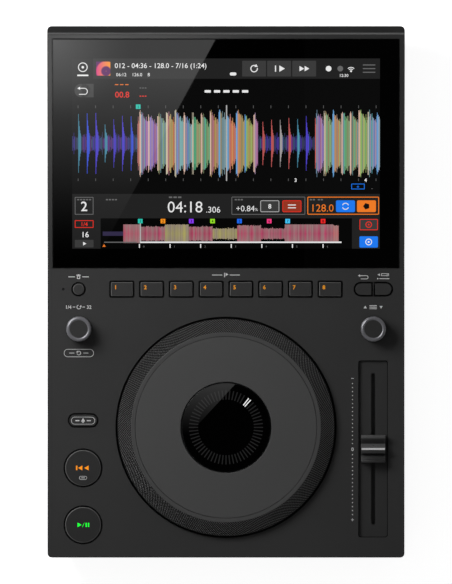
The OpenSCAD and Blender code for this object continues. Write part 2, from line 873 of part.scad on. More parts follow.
module bearing_cage() {
    color([0.7, 0.6, 0.3])
        difference() {
            at_jog() translate([0, 0, race_mid_z - ball_r - 0.6]) difference() {
                cylinder(r = ball_circle_r + cage_t / 2, h = 2 * ball_r + 1.2, $fn = 128);
                translate([0, 0, -join]) cylinder(r = ball_circle_r - cage_t / 2, h = 10, $fn = 128);
            }
            at_balls() rotate([0, 90, 0]) cylinder(r = ball_r + 0.2, h = 2 * cage_t, center = true, $fn = 32);
        }
}

module bearing_balls() {
    color([0.85, 0.85, 0.87]) at_balls() sphere(ball_r);
}

// Fixed post: foot, bearing seat, tube and the cup that holds the centre display
module jog_post() {
    race_top = race_z + race_h;
    rim_z = jog_top - lens_t;
    bore_r = post_r - 4;
    ledge_r = cup_r - 5.2;
    color([0.35, 0.35, 0.37])
        at_jog() rotate_extrude($fn = 128) polygon([
            [bore_r, post_foot_z],
            [post_r + 6, post_foot_z],
            [post_r + 6, post_foot_z + 2],
            [post_r + 1.6, post_foot_z + 2],
            [post_r + 1.6, race_z],
            [post_r, race_z],
            [post_r, race_top],
            [post_r + 1.6, race_top],
            [post_r + 1.6, cup_z],
            [cup_r, cup_z],
            [cup_r, rim_z],
            [cup_r - 1.8, rim_z],
            [cup_r - 1.8, cup_ledge_z],
            [ledge_r, cup_ledge_z],
            [ledge_r, cup_z + 1.6],
            [bore_r, cup_z + 1.6]
        ]);
}

module jog_lens() {
    color([0.03, 0.03, 0.03])
        at_jog() translate([0, 0, jog_top - lens_t]) cylinder(r = lens_r, h = lens_t, $fn = 128);
}

// Round display: board below, light guide above
module jog_display() {
    top = jog_top - lens_t - 0.4;
    color([0.1, 0.25, 0.15])
        at_jog() rotate_extrude($fn = 96) polygon([
            [0, cup_ledge_z],
            [cup_r - 1.8 - clear, cup_ledge_z],
            [cup_r - 1.8 - clear, cup_ledge_z + board_t],
            [cup_r - 3.2, cup_ledge_z + board_t],
            [cup_r - 3.2, top],
            [0, top]
        ]);
}

module jog_plate() {
    arm_w = 16;
    arm_l = 2 * (jog_post_spread * sqrt(2) + 6);
    color([0.65, 0.65, 0.67])
        at_jog() translate([0, 0, jog_plate_z]) linear_extrude(jog_plate_t) difference() {
            union() {
                circle(jog_plate_r, $fn = 96);
                for (a = [45, 135])
                    rotate(a) square([arm_l, arm_w], center = true);
            }
            circle(post_r - 4);
            for (sx = [-1, 1], sy = [-1, 1])
                translate([sx * jog_post_spread, sy * jog_post_spread]) circle(1.6);
        }
}

// Light gate that reads the slotted disc
module jog_sensor() {
    near = disc_r - 4;
    color([0.08, 0.08, 0.08])
        at_jog() difference() {
            box([near, -5, post_foot_z], [disc_r + 8, 5, disc_z + disc_t + 3.5]);
            box([near - join, -6, disc_z - 0.8], [disc_r + 1.2, 6, disc_z + disc_t + 0.8]);
        }
}

// ---------------------------------------------------------------- boards and switches

module control_board() {
    edge = 6;
    color([0.05, 0.3, 0.15])
        translate([0, 0, control_top - board_t]) linear_extrude(board_t) difference() {
            translate([x_left + edge, y_front + edge]) square([body_w - 2 * edge, row_front + 4]);
            translate([0, jog_y]) circle(jog_hole_r + case_wall + 1, $fn = 128);
            for (sx = [-1, 1], sy = [-1, 1])
                translate([sx * jog_post_spread, jog_y + sy * jog_post_spread]) circle(jog_post_r + 1);
            for (s = [-1, 1])
                translate([s * screw_places[0][0], screw_places[0][1]]) circle(screw_post_r + 1);
        }
}

// One push switch under each key, with the bore that takes the key's stem
module key_switches() {
    color([0.12, 0.12, 0.12])
        for (p = key_places)
            translate([p[0], p[1], control_top]) difference() {
                translate([-switch_w / 2, -switch_w / 2, 0]) cube([switch_w, switch_w, switch_h]);
                translate([0, 0, switch_floor]) cylinder(r = stem_r + clear, h = switch_h);
            }
}

module main_board() {
    color([0.05, 0.3, 0.15]) {
        box([main_x, main_y, board_z], [main_x + main_w, main_y + main_d, board_top]);
        translate([heat_x, heat_y, board_top - 0.5]) box([-10, -10, 0], [10, 10, 0.5 + chip_h]);
        for (i = [0:3])
            translate([heat_x - 34 + i * 14, heat_y - 34, board_top - 0.5]) box([-5, -6, 0], [5, 6, 1.6]);
        translate([heat_x - 8, main_y + 8, board_top - 0.5]) box([-20, -2.5, 0], [20, 2.5, 5]);
    }
}

chip_h = 2;
heat_x = main_x + main_w / 2;
heat_y = main_y + main_d / 2;

module heat_sink() {
    size = 40;
    base_h = 3;
    fin_h = 14;
    fin_t = 1.4;
    fins = 9;
    color([0.15, 0.15, 0.16])
        translate([heat_x, heat_y, board_top + chip_h]) {
            box([-size / 2, -size / 2, 0], [size / 2, size / 2, base_h]);
            for (i = [0:fins - 1])
                translate([-size / 2 + i * (size - fin_t) / (fins - 1), -size / 2, base_h - 0.5])
                    cube([fin_t, size, fin_h]);
        }
}

// Board with transformer, two capacitors and a cooling plate
module power_supply() {
    color([0.2, 0.35, 0.2])
        translate([supply_x, supply_y, board_z]) {
            cube([supply_w, supply_d, board_t]);
            translate([10, 34, board_t - 0.5]) cube([30, 26, 24.5]);
            translate([supply_w - 12, 24, board_t - 0.5]) cylinder(r = 7, h = 22);
            translate([supply_w - 12, 42, board_t - 0.5]) cylinder(r = 7, h = 22);
            translate([8, 72, board_t - 0.5]) cube([44, 2, 26]);
            translate([12, 10, board_t - 0.5]) cube([20, 14, 12]);
        }
}

// ---------------------------------------------------------------- rear connectors

module rca_jacks() {
    block = 12;
    color([0.75, 0.72, 0.6])
        for (i = [0:rca_count - 1])
            translate([rca_x - i * rca_pitch, 0, rca_z]) difference() {
                union() {
                    box([-block / 2, panel_y - block, -6], [block / 2, panel_y, 6]);
                    translate([0, panel_y - join, 0]) rotate([-90, 0, 0])
                        cylinder(r = rca_r, h = panel_t + rca_out + join);
                }
                translate([0, panel_y - 4, 0]) rotate([-90, 0, 0]) cylinder(r = 1.6, h = 20);
            }
}

usb_a_w = 13.2;
usb_a_h = 5.8;
usb_a_z = board_top + 4;
usb_b_w = 12;
usb_b_h = 10.8;
usb_b_z = board_top + usb_b_h / 2;

// Flat host socket and square device socket, both with the tongue inside
module usb_sockets() {
    depth = 14;
    shell = 0.5;
    color([0.7, 0.7, 0.72]) {
        translate([usb_a_x, 0, usb_a_z]) {
            difference() {
                box([-usb_a_w / 2, panel_face - depth, -usb_a_h / 2],
                    [usb_a_w / 2, panel_face, usb_a_h / 2]);
                box([-usb_a_w / 2 + shell, panel_face - depth + 2, -usb_a_h / 2 + shell],
                    [usb_a_w / 2 - shell, panel_face + join, usb_a_h / 2 - shell]);
            }
            box([-5.2, panel_face - depth + 1, 0.3], [5.2, panel_face - 1, 2]);
            box([-usb_a_w / 2, panel_face - depth, board_top - usb_a_z],
                [usb_a_w / 2, panel_face - depth + 8, -usb_a_h / 2 + 0.2]);
        }
        translate([usb_b_x, 0, usb_b_z]) {
            difference() {
                box([-usb_b_w / 2, panel_face - depth, -usb_b_h / 2],
                    [usb_b_w / 2, panel_face, usb_b_h / 2]);
                box([-4.3, panel_face - depth + 2, -4], [4.3, panel_face + join, 4]);
            }
            box([-2.8, panel_face - depth + 1, -1.6], [2.8, panel_face - 1.5, 1.6]);
        }
    }
}

lan_w = 16;
lan_h = 13.5;
lan_z = board_top + lan_h / 2;

module lan_socket() {
    depth = 21;
    color([0.72, 0.72, 0.74])
        translate([lan_x, 0, lan_z]) difference() {
            box([-lan_w / 2, panel_face - depth, -lan_h / 2], [lan_w / 2, panel_face, lan_h / 2]);
            box([-5.9, panel_face - 13, -3.4], [5.9, panel_face + join, 4.4]);
            box([-3, panel_face - 10, -5.2], [3, panel_face + join, -3.2]);
        }
}

inlet_w = 27;
inlet_h = 20;

// Three-pin appliance inlet with its flange on the outer face of the panel
module mains_inlet() {
    depth = 20;
    flange = [31, 24, 2];
    cavity = [24.4, 16.6];
    pin = [2, 4];
    color([0.07, 0.07, 0.07])
        translate([inlet_x, 0, inlet_z]) {
            difference() {
                union() {
                    box([-inlet_w / 2, panel_face - depth, -inlet_h / 2],
                        [inlet_w / 2, panel_face + join, inlet_h / 2]);
                    box([-flange[0] / 2, panel_face, -flange[1] / 2],
                        [flange[0] / 2, panel_face + flange[2], flange[1] / 2]);
                }
                along_y(panel_face - depth + 3, panel_face + flange[2] + join)
                    polygon([
                        [-cavity[0] / 2, -cavity[1] / 2], [cavity[0] / 2, -cavity[1] / 2],
                        [cavity[0] / 2, cavity[1] / 2 - 4.5], [cavity[0] / 2 - 4.5, cavity[1] / 2],
                        [-cavity[0] / 2 + 4.5, cavity[1] / 2], [-cavity[0] / 2, cavity[1] / 2 - 4.5]
                    ]);
            }
            for (p = [[-7, -2], [0, 2], [7, -2]])
                box([p[0] - pin[0] / 2, panel_face - depth + 2, p[1] - pin[1] / 2],
                    [p[0] + pin[0] / 2, panel_face - 1, p[1] + pin[1] / 2]);
        }
}

rocker_axis_y = panel_face + 0.2;

// Housing of the power switch: its flange is on the outer face of the panel, and two bores take the pins
module power_switch() {
    depth = 14;
    rim = 1.5;
    half_l = rocker_l / 2 + 0.7;
    half_w = rocker_w / 2 + clear;
    color([0.08, 0.08, 0.08])
        translate([switch_x, 0, inlet_z]) difference() {
            union() {
                box([-switch_w_x / 2, panel_face - depth, -switch_h_z / 2],
                    [switch_w_x / 2, panel_face + join, switch_h_z / 2]);
                box([-switch_w_x / 2 - 1.2, panel_face, -switch_h_z / 2 - 1.2],
                    [switch_w_x / 2 + 1.2, panel_face + rim, switch_h_z / 2 + 1.2]);
            }
            box([-half_w, rocker_axis_y - 7, -half_l], [half_w, panel_face + rim + join, half_l]);
            translate([-switch_w_x / 2 + 0.4, rocker_axis_y, 0]) rotate([0, 90, 0])
                cylinder(r = rocker_pin_r + run_fit, h = switch_w_x - 0.8);
        }
}

// Rocker, stored in the off position: its lower half pressed in
module power_rocker() {
    half = rocker_l / 2;
    color([0.1, 0.1, 0.1])
        translate([switch_x, rocker_axis_y, inlet_z]) rotate([-rocker_swing / 2, 0, 0]) {
            along_x(-rocker_w / 2, rocker_w / 2)
                polygon([
                    [-1.5, -half], [2.9, -half], [1.6, 0], [2.9, half], [-1.5, half],
                    [-4.5, 3], [-4.5, -3]
                ]);
            translate([-switch_w_x / 2 + 0.7, 0, 0]) rotate([0, 90, 0])
                cylinder(r = rocker_pin_r, h = switch_w_x - 1.4);
        }
}

// ---------------------------------------------------------------- tempo fader

// Places children at the middle of the fader
module at_fader() {
    translate([fader_x, fader_y, 0]) children();
}

module fader_plate() {
    color([0.17, 0.17, 0.18])
        at_fader() translate([0, 0, plate_z]) linear_extrude(plate_t) difference() {
            square([recess_w + 2 * plate_lip, recess_l + 2 * plate_lip], center = true);
            rotate(90) pill(slot_l, slot_w, 8);
        }
}

module fader_body() {
    top = plate_z;
    color([0.6, 0.6, 0.62])
        at_fader() difference() {
            box([-fader_body_w / 2, -track_l / 2 - fader_end, control_top],
                [fader_body_w / 2, track_l / 2 + fader_end, top]);
            box([-carriage_w / 2 - clear, -track_l / 2, control_top + fader_skin],
                [carriage_w / 2 + clear, track_l / 2, top - fader_skin]);
            box([-slot_w / 2, -slot_l / 2, control_top + fader_skin], [slot_w / 2, slot_l / 2, top + join]);
        }
}

module fader_lever() {
    mid_z = (control_top + plate_z) / 2;
    color([0.75, 0.75, 0.77])
        at_fader() {
            box([-carriage_w / 2, -carriage_l / 2, mid_z - carriage_h / 2],
                [carriage_w / 2, carriage_l / 2, mid_z + carriage_h / 2]);
            box([-lever_t / 2, -lever_l / 2, mid_z], [lever_t / 2, lever_l / 2, lever_top]);
        }
}

// Cap with a raised middle ridge, two finger hollows and two end ridges
module fader_cap() {
    half = cap_l / 2;
    hollow_y = half * 0.42;
    hollow_z = cap_h - 3.2;
    ridge_w = 1.2;
    end_w = 2.4;
    color([0.16, 0.16, 0.17])
        at_fader() translate([0, 0, cap_z]) difference() {
            along_x(-cap_w / 2, cap_w / 2)
                polygon([
                    [-half, 0], [half, 0], [half - 0.3, cap_h - 1], [half - end_w, cap_h - 1],
                    [hollow_y, hollow_z], [ridge_w, cap_h], [-ridge_w, cap_h],
                    [-hollow_y, hollow_z], [-half + end_w, cap_h - 1], [-half + 0.3, cap_h - 1]
                ]);
            box([-lever_t / 2 - fit, -lever_l / 2 - fit, -join],
                [lever_t / 2 + fit, lever_l / 2 + fit, lever_top - cap_z]);
            // Hollow underside
            for (s = [-1, 1])
                box([-cap_w / 2 + 1.5, s > 0 ? lever_l / 2 + 2 : -half + 1.5, -join],
                    [cap_w / 2 - 1.5, s > 0 ? half - 1.5 : -lever_l / 2 - 2, hollow_z - 2]);
        }
}

// ---------------------------------------------------------------- knobs

// Push encoder: case on the control board, bushing through the deck and its nut
module encoder(x) {
    body_top = control_top + encoder_h;
    color([0.65, 0.65, 0.67])
        translate([x, knob_y, 0]) difference() {
            union() {
                box([-encoder_w / 2, -encoder_w / 2, control_top], [encoder_w / 2, encoder_w / 2, body_top]);
                translate([0, 0, body_top - join]) cylinder(r = bushing_r, h = bushing_top - body_top + join);
                translate([0, 0, deck_h]) cylinder(r = nut_r, h = nut_h, $fn = 6);
            }
            translate([0, 0, control_top + encoder_floor]) cylinder(r = shaft_r + run_fit, h = 40);
        }
}

module beat_loop_encoder() { encoder(loop_x); }
module browse_encoder() { encoder(browse_x); }

// Plunger under a shaft, pressed when the knob is pushed
module plunger(x) {
    color([0.85, 0.8, 0.6])
        translate([x, knob_y, plunger_z]) cylinder(r = shaft_r - 0.2, h = plunger_t);
}

module beat_loop_plunger() { plunger(loop_x); }
module browse_plunger() { plunger(browse_x); }

module knob_shaft(x) {
    color([0.75, 0.75, 0.77])
        translate([x, knob_y, shaft_z]) cylinder(r = shaft_r, h = knob_z + knob_h - knob_roof - shaft_z);
}

module beat_loop_shaft() { knob_shaft(loop_x); }
module browse_shaft() { knob_shaft(browse_x); }

// Knob: fluted tapering grip, chamfered shoulder, dished top and a hollow skirt over the nut
module knob(x) {
    skirt_r = knob_r - 1.7;
    lean = atan2(knob_r - knob_shoulder_r, knob_shoulder_h - 1.5);
    color([0.55, 0.55, 0.57])
        translate([x, knob_y, knob_z]) difference() {
            rotate_extrude() polygon([
                [skirt_r, 0],
                [knob_r, 0],
                [knob_r, 1.5],
                [knob_shoulder_r, knob_shoulder_h],
                [knob_top_r, knob_h],
                [knob_top_r - 0.3, knob_h],
                [knob_top_r - 0.3, knob_h - 0.4],
                [0, knob_h - 0.4],
                [0, knob_h - knob_roof],
                [shaft_r + fit, knob_h - knob_roof],
                [shaft_r + fit, knob_hub_z],
                [skirt_r, knob_hub_z]
            ]);
            for (i = [0:flute_count - 1])
                rotate(360 * i / flute_count) translate([knob_r + flute_r - flute_depth, 0, 1.5])
                    rotate([0, -lean, 0]) cylinder(r = flute_r, h = 30, $fn = 24);
        }
}

module beat_loop_knob() { knob(loop_x); }
module browse_knob() { knob(browse_x); }

// ---------------------------------------------------------------- keys

// Key: the cap outline up to the top, the flange outline under the deck and the stem
module key(x, y) {
    translate([x, y, 0]) {
        translate([0, 0, key_flange_top - key_flange_t]) linear_extrude(key_flange_t) children(0);
        translate([0, 0, stem_end]) cylinder(r = stem_r, h = key_flange_top - key_flange_t + 0.5 - stem_end);
        translate([0, 0, key_flange_top - 0.5]) children(1);
    }
}

key_cap_h = key_top - key_flange_top + 0.5;
cue_cap_w = cue_key_w - 2 * key_gap;
cue_cap_d = cue_key_d - 2 * key_gap;

// Top of a rectangular key, chamfered on all four edges
module block_cap(w, d) {
    intersection() {
        linear_extrude(key_cap_h) rounded_rect(w, d, 0.8);
        along_y(-d, d) polygon([
            [-w / 2 - 1, 0], [w / 2 + 1, 0],
            [w / 2 + 1, key_cap_h - key_edge - 1], [w / 2 - key_edge, key_cap_h],
            [-w / 2 + key_edge, key_cap_h], [-w / 2 - 1, key_cap_h - key_edge - 1]
        ]);
        along_x(-w, w) polygon([
            [-d / 2 - 1, 0], [d / 2 + 1, 0],
            [d / 2 + 1, key_cap_h - key_edge - 1], [d / 2 - key_edge, key_cap_h],
            [-d / 2 + key_edge, key_cap_h], [-d / 2 - 1, key_cap_h - key_edge - 1]
        ]);
    }
}

// Top of a round key, chamfered
module disc_cap(r) {
    rotate_extrude($fn = 96)
        polygon([[0, 0], [r, 0], [r, key_cap_h - key_edge], [r - key_edge, key_cap_h], [0, key_cap_h]]);
}

module hot_cue_key(i) {
    color([0.2, 0.2, 0.21])
        key(cue_key_x(i), row_y) {
            square([cue_key_w + 2 * key_flange_w, cue_key_d + 2 * key_flange_w], center = true);
            block_cap(cue_cap_w, cue_cap_d);
        }
}

module delete_key() {
    color([0.2, 0.2, 0.21])
        key(delete_x, row_y) {
            circle(delete_r + key_flange_w);
            disc_cap(delete_r - key_gap);
        }
}

// Back and tag keys: the flange stays flush with the cap on the side where the two meet
module pair_key(x, side) {
    color([0.2, 0.2, 0.21])
        key(x, row_y) {
            translate([side * (key_flange_w + key_gap) / 2, 0])
                half_pill(pair_w + key_flange_w - key_gap, pair_d + 2 * key_flange_w, side);
            linear_extrude(key_cap_h) half_pill(pair_w - 2 * key_gap, pair_d - 2 * key_gap, side);
        }
}

module back_key() { pair_key(back_x, -1); }
module tag_key() { pair_key(tag_x, 1); }

module shift_key() {
    color([0.2, 0.2, 0.21])
        key(round_x, shift_y) {
            pill(shift_w + 2 * key_flange_w, shift_d + 2 * key_flange_w);
            linear_extrude(key_cap_h) pill(shift_w - 2 * key_gap, shift_d - 2 * key_gap);
        }
}

// Large round transport key
module round_key(y) {
    color([0.18, 0.18, 0.19])
        key(round_x, y) {
            circle(round_key_r + key_flange_w);
            disc_cap(round_key_r - key_gap);
        }
}

module cue_key() { round_key(cue_y); }
module play_key() { round_key(play_y); }

// ---------------------------------------------------------------- nodes

top_case();
screen_bezel();
bottom_case();
rear_panel();
rubber_feet();
case_screws();
screen_glass();
lcd_module();
lcd_bracket();
jog_plate();
jog_post();
jog_lens();
jog_display();
jog_sensor();
bearing_inner_race();
control_board();
key_switches();
main_board();
heat_sink();
power_supply();
rca_jacks();
usb_sockets();
lan_socket();
mains_inlet();
power_switch();
fader_body();
fader_plate();
beat_loop_encoder();
browse_encoder();
jog_ring();
jog_platter();
jog_hub();
encoder_disc();
bearing_outer_race();
bearing_cage();
bearing_balls();
fader_lever();
fader_cap();
beat_loop_plunger();
beat_loop_shaft();
beat_loop_knob();
browse_plunger();
browse_shaft();
browse_knob();
for (i = [0:cue_key_count - 1])
    hot_cue_key(i);
delete_key();
back_key();
tag_key();
shift_key();
cue_key();
play_key();
power_rocker();
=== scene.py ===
"""Tabletop media player for DJs, dressed for rendering. Metres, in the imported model's frame."""

import math
from functools import partialmethod

import bmesh
import bpy
from mathutils import Matrix, Vector


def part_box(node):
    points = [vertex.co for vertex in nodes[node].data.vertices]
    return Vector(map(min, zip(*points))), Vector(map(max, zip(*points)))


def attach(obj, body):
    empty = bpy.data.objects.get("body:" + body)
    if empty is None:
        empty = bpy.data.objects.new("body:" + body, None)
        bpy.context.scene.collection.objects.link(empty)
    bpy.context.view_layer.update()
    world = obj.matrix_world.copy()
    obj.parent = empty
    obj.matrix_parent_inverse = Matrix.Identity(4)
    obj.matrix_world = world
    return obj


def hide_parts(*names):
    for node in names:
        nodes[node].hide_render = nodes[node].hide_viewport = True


MM = 0.001
mesh = bpy.ops.mesh
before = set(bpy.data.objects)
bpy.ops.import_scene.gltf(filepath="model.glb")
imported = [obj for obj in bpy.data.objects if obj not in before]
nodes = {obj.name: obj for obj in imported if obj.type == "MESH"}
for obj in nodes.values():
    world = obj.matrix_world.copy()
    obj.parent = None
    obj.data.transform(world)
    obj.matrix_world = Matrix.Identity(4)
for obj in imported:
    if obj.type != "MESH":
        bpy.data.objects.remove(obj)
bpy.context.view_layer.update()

DECK_Z = 64 * MM
SCREEN_FRONT = 16.6 * MM
SCREEN_TILT = math.radians(9)
JOG_Y = -95.5 * MM
JOG_TOP = 75 * MM
RIDGE_Y = 181.5 * MM
RIM_IN, RIM_TOP, RIM_OUT = 64.2 * MM, 67.1 * MM, 76.4 * MM
GRIP_HIGH, GRIP_LOW, GRIP_RISE = JOG_TOP - 0.25 * MM, 68.3 * MM, 0.4 * MM
GRIP_COUNT, GRIP_ROWS = 264, 6
KNOB_X, KNOB_Y = 103.9, -26.1
KNOB_FOOT, KNOB_TOP = 65 * MM, 77.8 * MM
HOT_CUES = range(1, 9)
GRAIN_DEPTH = 0.02 * MM
GLASS_ROUGH = (0.008, 0.013)
WHITE = (1, 1, 1, 1)

# ---- shader maths


class Wire:
    """Output of a material node. Arithmetic on it adds Math nodes."""

    def __init__(self, finish, socket):
        self.finish = finish
        self.socket = socket

    def out(self, name):
        return Wire(self.finish, self.socket.node.outputs[name])

    def maths(self, operation, *values):
        inputs = dict(enumerate((self, *values)))
        return self.finish.node("Math", {"operation": operation}, inputs)

    def __rsub__(self, other):
        return (self * -1) + other

    def ramp(self, low=0.3, high=0.7, start=0, end=1):
        """Goes from start to end as the value goes from low to high, and stays there."""
        inputs = {0: self, 1: low, 2: high, 3: start, 4: end}
        return self.finish.node("MapRange", {"clamp": True}, inputs)


OPERATIONS = {
    "__add__": "ADD", "__radd__": "ADD", "__mul__": "MULTIPLY", "__rmul__": "MULTIPLY",
    "__sub__": "SUBTRACT", "__truediv__": "DIVIDE", "__pow__": "POWER", "__abs__": "ABSOLUTE",
    "__gt__": "GREATER_THAN", "__lt__": "LESS_THAN", "floor": "FLOOR", "fract": "FRACT",
    "round": "ROUND", "sine": "SINE", "root": "SQRT", "exponent": "EXPONENT",
    "lowest": "MINIMUM", "highest": "MAXIMUM", "arctangent": "ARCTAN2",
}
for method, operation in OPERATIONS.items():
    setattr(Wire, method, partialmethod(Wire.maths, operation))


class Finish:
    """A material or world while it is being built. Its x, y and z are the place in metres."""

    def __init__(self, name, world=None):
        self.owner = world or bpy.data.materials.new(name)
        self.owner.use_nodes = True
        self.tree = self.owner.node_tree
        self.tree.nodes.clear()
        self.spot = self.node("TexCoord").out("Object")
        parts = self.node("SeparateXYZ", None, {0: self.spot})
        self.x, self.y, self.z = (parts.out(axis) for axis in "XYZ")

    def node(self, kind, settings=None, inputs=None):
        """Adds a shader node of that kind and gives its first output."""
        made = self.tree.nodes.new("ShaderNode" + kind)
        for setting, value in (settings or {}).items():
            if setting == "stops":
                made.color_ramp.interpolation = "CONSTANT"
                stops = made.color_ramp.elements
                while len(stops) < len(value):
                    stops.new(1)
                for stop, (place, colour) in zip(stops, value):
                    stop.position, stop.color = place, colour
            else:
                setattr(made, setting, value)
        for socket, value in (inputs or {}).items():
            if isinstance(value, Wire):
                self.tree.links.new(value.socket, made.inputs[socket])
            else:
                made.inputs[socket].default_value = value
        return Wire(self, made.outputs[0]) if made.outputs else None

    def noise(self, scale, detail=2, stretch=None):
        """Noise over the piece, finer along some axes if it is stretched."""
        spot = self.spot
        if stretch:
            spot = self.node("Mapping", None, {"Vector": spot, "Scale": stretch})
        inputs = {"Vector": spot, "Scale": scale, "Detail": detail}
        return self.node("TexNoise", None, inputs)

    def line_noise(self, value, scale, detail=2):
        """Noise along one value."""
        inputs = {"W": value, "Scale": scale, "Detail": detail}
        return self.node("TexNoise", {"noise_dimensions": "1D"}, inputs)

    def mix(self, factor, first, second):
        inputs = {0: factor, 6: first, 7: second}
        return self.node("Mix", {"data_type": "RGBA"}, inputs).out(2)

    def bump(self, height, strength, normal=None, depth=GRAIN_DEPTH):
        inputs = {"Height": height, "Strength": strength, "Distance": depth}
        if normal:
            inputs["Normal"] = normal
        return self.node("Bump", None, inputs)

    def soft_edges(self, radius):
        """Normal that rounds the edges, by a radius in millimetres."""
        return self.node("Bevel", {"samples": 4}, {"Radius": radius * MM})

    def emission(self, strength):
        return self.node("Emission", None, {"Color": WHITE, "Strength": strength})

    def surface(self, base, roughness, metallic=0, shine=0.5, **others):
        """Ends the material in one shader."""
        inputs = {"Base Color": base, "Roughness": roughness, "Metallic": metallic}
        inputs["Specular IOR Level"] = shine
        inputs.update({name.replace("_", " ").title(): value for name, value in others.items()})
        return self.end(self.node("BsdfPrincipled", None, inputs))

    def end(self, shader, kind="OutputMaterial"):
        self.node(kind, None, {"Surface": shader})
        return self.owner


def grey(level):
    """Linear colour of a neutral grey that reads as that 8-bit tone."""
    tone = level / 255
    linear = tone / 12.92 if tone <= 0.04045 else ((tone + 0.055) / 1.055) ** 2.4
    return (linear, linear, linear, 1)


def tint(red, green, blue):
    """Linear colour of an 8-bit colour."""
    return (grey(red)[0], grey(green)[0], grey(blue)[0], 1)


def shaded(colour, part):
    """A colour with only that part of its light."""
    return (*(channel * part for channel in colour[:3]), 1)


def span(across, along):
    """Length of two steps at right angles, taken together."""
    return (across * across + along * along).root()


# ---- finishes


def moulded_face(finish, tone, roughness):
    """Colour, roughness and grain of a spark-eroded, slightly clouded face."""
    cloud = finish.noise(14, 3)
    grain = finish.noise(3200)
    base = finish.mix(cloud.ramp(), grey(tone - 1.5), grey(tone + 1.5))
    rough = cloud.ramp(0.25, 0.75, roughness - 0.03, roughness + 0.03)
    return base, rough + (grain - 0.5) * 0.08, grain


def moulded_plastic(name, tone, roughness, relief=0.35, edges=0.25, shine=0.5, rear_shade_tone=None):
    """Moulded plastic with soft edges, painted darker behind the ridge as shade on the steep rear
    slope if a rear tone is given.
    """
    finish = Finish(name)
    base, rough, grain = moulded_face(finish, tone, roughness)
    # Behind the ridge the tone is painted darker, as shade on the steep rear slope.
    if rear_shade_tone:
        rear = finish.y > RIDGE_Y + 0.2 * MM
        base = finish.mix(rear, base, grey(rear_shade_tone))
        rough = rough + rear * 0.3
    normal = finish.bump(grain, relief, finish.soft_edges(edges))
    return finish.surface(base, rough, shine=shine, normal=normal)


def key_moulding(name, tone, bevel_highlight_tone, roughness=0.42):
    """Moulded key: fine grain, bevels painted lighter as a highlight, sides and flange painted
    near-black as shade.
    """
    finish = Finish(name)
    facing = finish.node("NewGeometry").out("True Normal")
    upright = finish.node("SeparateXYZ", None, {0: facing}).out("Z")
    bevel_highlight = (upright > 0.3) * (upright < 0.95)
    sunken_shade = (finish.z < DECK_Z - 0.3 * MM).highest(upright < 0.3)
    face, rough, grain = moulded_face(finish, tone, roughness)
    # Bevels painted lighter as a highlight; sides and flange painted near-black as shade.
    base = finish.mix(sunken_shade, finish.mix(bevel_highlight, face, grey(bevel_highlight_tone)), grey(8))
    normal = finish.bump(grain, 0.25, finish.soft_edges(0.4))
    return finish.surface(base, rough - bevel_highlight * 0.25, shine=0.35, normal=normal)


def plated_metal(name, colour, roughness, scratch=(400, 400, 400), wear=0.08):
    """Plated or bare metal with fine drawing marks."""
    finish = Finish(name)
    marks = finish.noise(6, 4, scratch)
    base = finish.mix(finish.noise(60).ramp(), shaded(colour, 0.8), colour)
    rough = marks.ramp(0.2, 0.8, roughness - wear, roughness + wear)
    return finish.surface(base, rough, 1, normal=finish.bump(marks, 0.15, depth=GRAIN_DEPTH / 2))


def circuit_board(name, mask, track, pad):
    """Solder mask over square-cornered tracks, with bare pads."""
    finish = Finish(name)
    cells = finish.node(
        "TexBrick",
        {"offset": 0.37, "squash": 1.6, "squash_frequency": 3},
        {"Vector": finish.spot, "Scale": 210, "Mortar Size": 0.06, "Mortar Smooth": 0},
    )
    dots = finish.node("TexVoronoi", None, {"Vector": finish.spot, "Scale": 260})
    pads = dots < 0.16
    base = finish.mix(pads, finish.mix(cells.out("Fac"), mask, track), pad)
    return finish.surface(base, pads.ramp(0, 1, 0.45, 0.3), pads * 0.9)


def foot_rubber():
    """Rubber with fine grain and a little dust."""
    finish = Finish("foot_rubber")
    dust = finish.noise(90, 5)
    base = finish.mix(dust.ramp(0.45, 0.8), grey(26), grey(46))
    normal = finish.bump(finish.noise(1800), 0.5, depth=GRAIN_DEPTH * 2)
    return finish.surface(base, dust.ramp(0.3, 0.8, 0.75, 0.9), normal=normal)


def polished_cover(name, tone, roughness):
    """Black-backed cover glass with faint wiping marks."""
    finish = Finish(name)
    wipe = finish.noise(30, 5, (1, 3, 1))
    rough = wipe.ramp(0.35, 0.75, roughness, roughness * 1.6)
    return finish.surface(grey(tone), rough, normal=finish.soft_edges(0.5))


def lit(name, *colour):
    """Lit picture element of an 8-bit grey or colour, behind polished glass."""
    finish = Finish(name)
    colour = tint(*colour) if len(colour) == 3 else grey(*colour)
    cells = finish.noise(900, 1)
    shade = finish.mix(cells.ramp(), shaded(colour, 0.94), colour)
    rough = cells.ramp(0.3, 0.7, *GLASS_ROUGH)
    return finish.surface(grey(1), rough, emission_color=shade, emission_strength=1)


def ink(name, colour, glow=0, shine=0.5):
    """Screen-printed ink, slightly uneven in cover."""
    finish = Finish(name)
    cover = finish.noise(1400, 3)
    base = finish.mix(cover.ramp(0.3, 0.6), shaded(colour, 0.86), colour)
    rough = cover.ramp(0.3, 0.7, 0.45, 0.6)
    return finish.surface(base, rough, shine=shine, emission_color=base, emission_strength=glow)


def grip_moulding():
    """Moulded grip over diamonds: two families of grooves, one of them wider, painted dark as
    shade, and the crowns between them painted light as a highlight.
    """
    finish = Finish("grip_plastic")
    away = finish.y - JOG_Y
    column = away.arctangent(finish.x) * (GRIP_COUNT / math.tau)
    row = (span(finish.x, away) - RIM_TOP) * (GRIP_ROWS / (RIM_OUT - RIM_TOP))
    wide_groove = abs((column - row).fract() - 0.5).ramp(0.1, 0.22)
    fine_groove = abs((column + row).fract() - 0.5).ramp(0.32, 0.46)
    grain = finish.noise(2400)
    # Crowns painted light as a highlight and grooves painted near-black as shade.
    crown = finish.mix(fine_groove, grey(112), grey(46))
    base = finish.mix(wide_groove, crown, grey(3))
    rough = wide_groove.ramp(0, 1, 0.42, 0.6) + (grain - 0.5) * 0.1
    return finish.surface(base, rough, shine=0.2, normal=finish.bump(grain, 0.1))


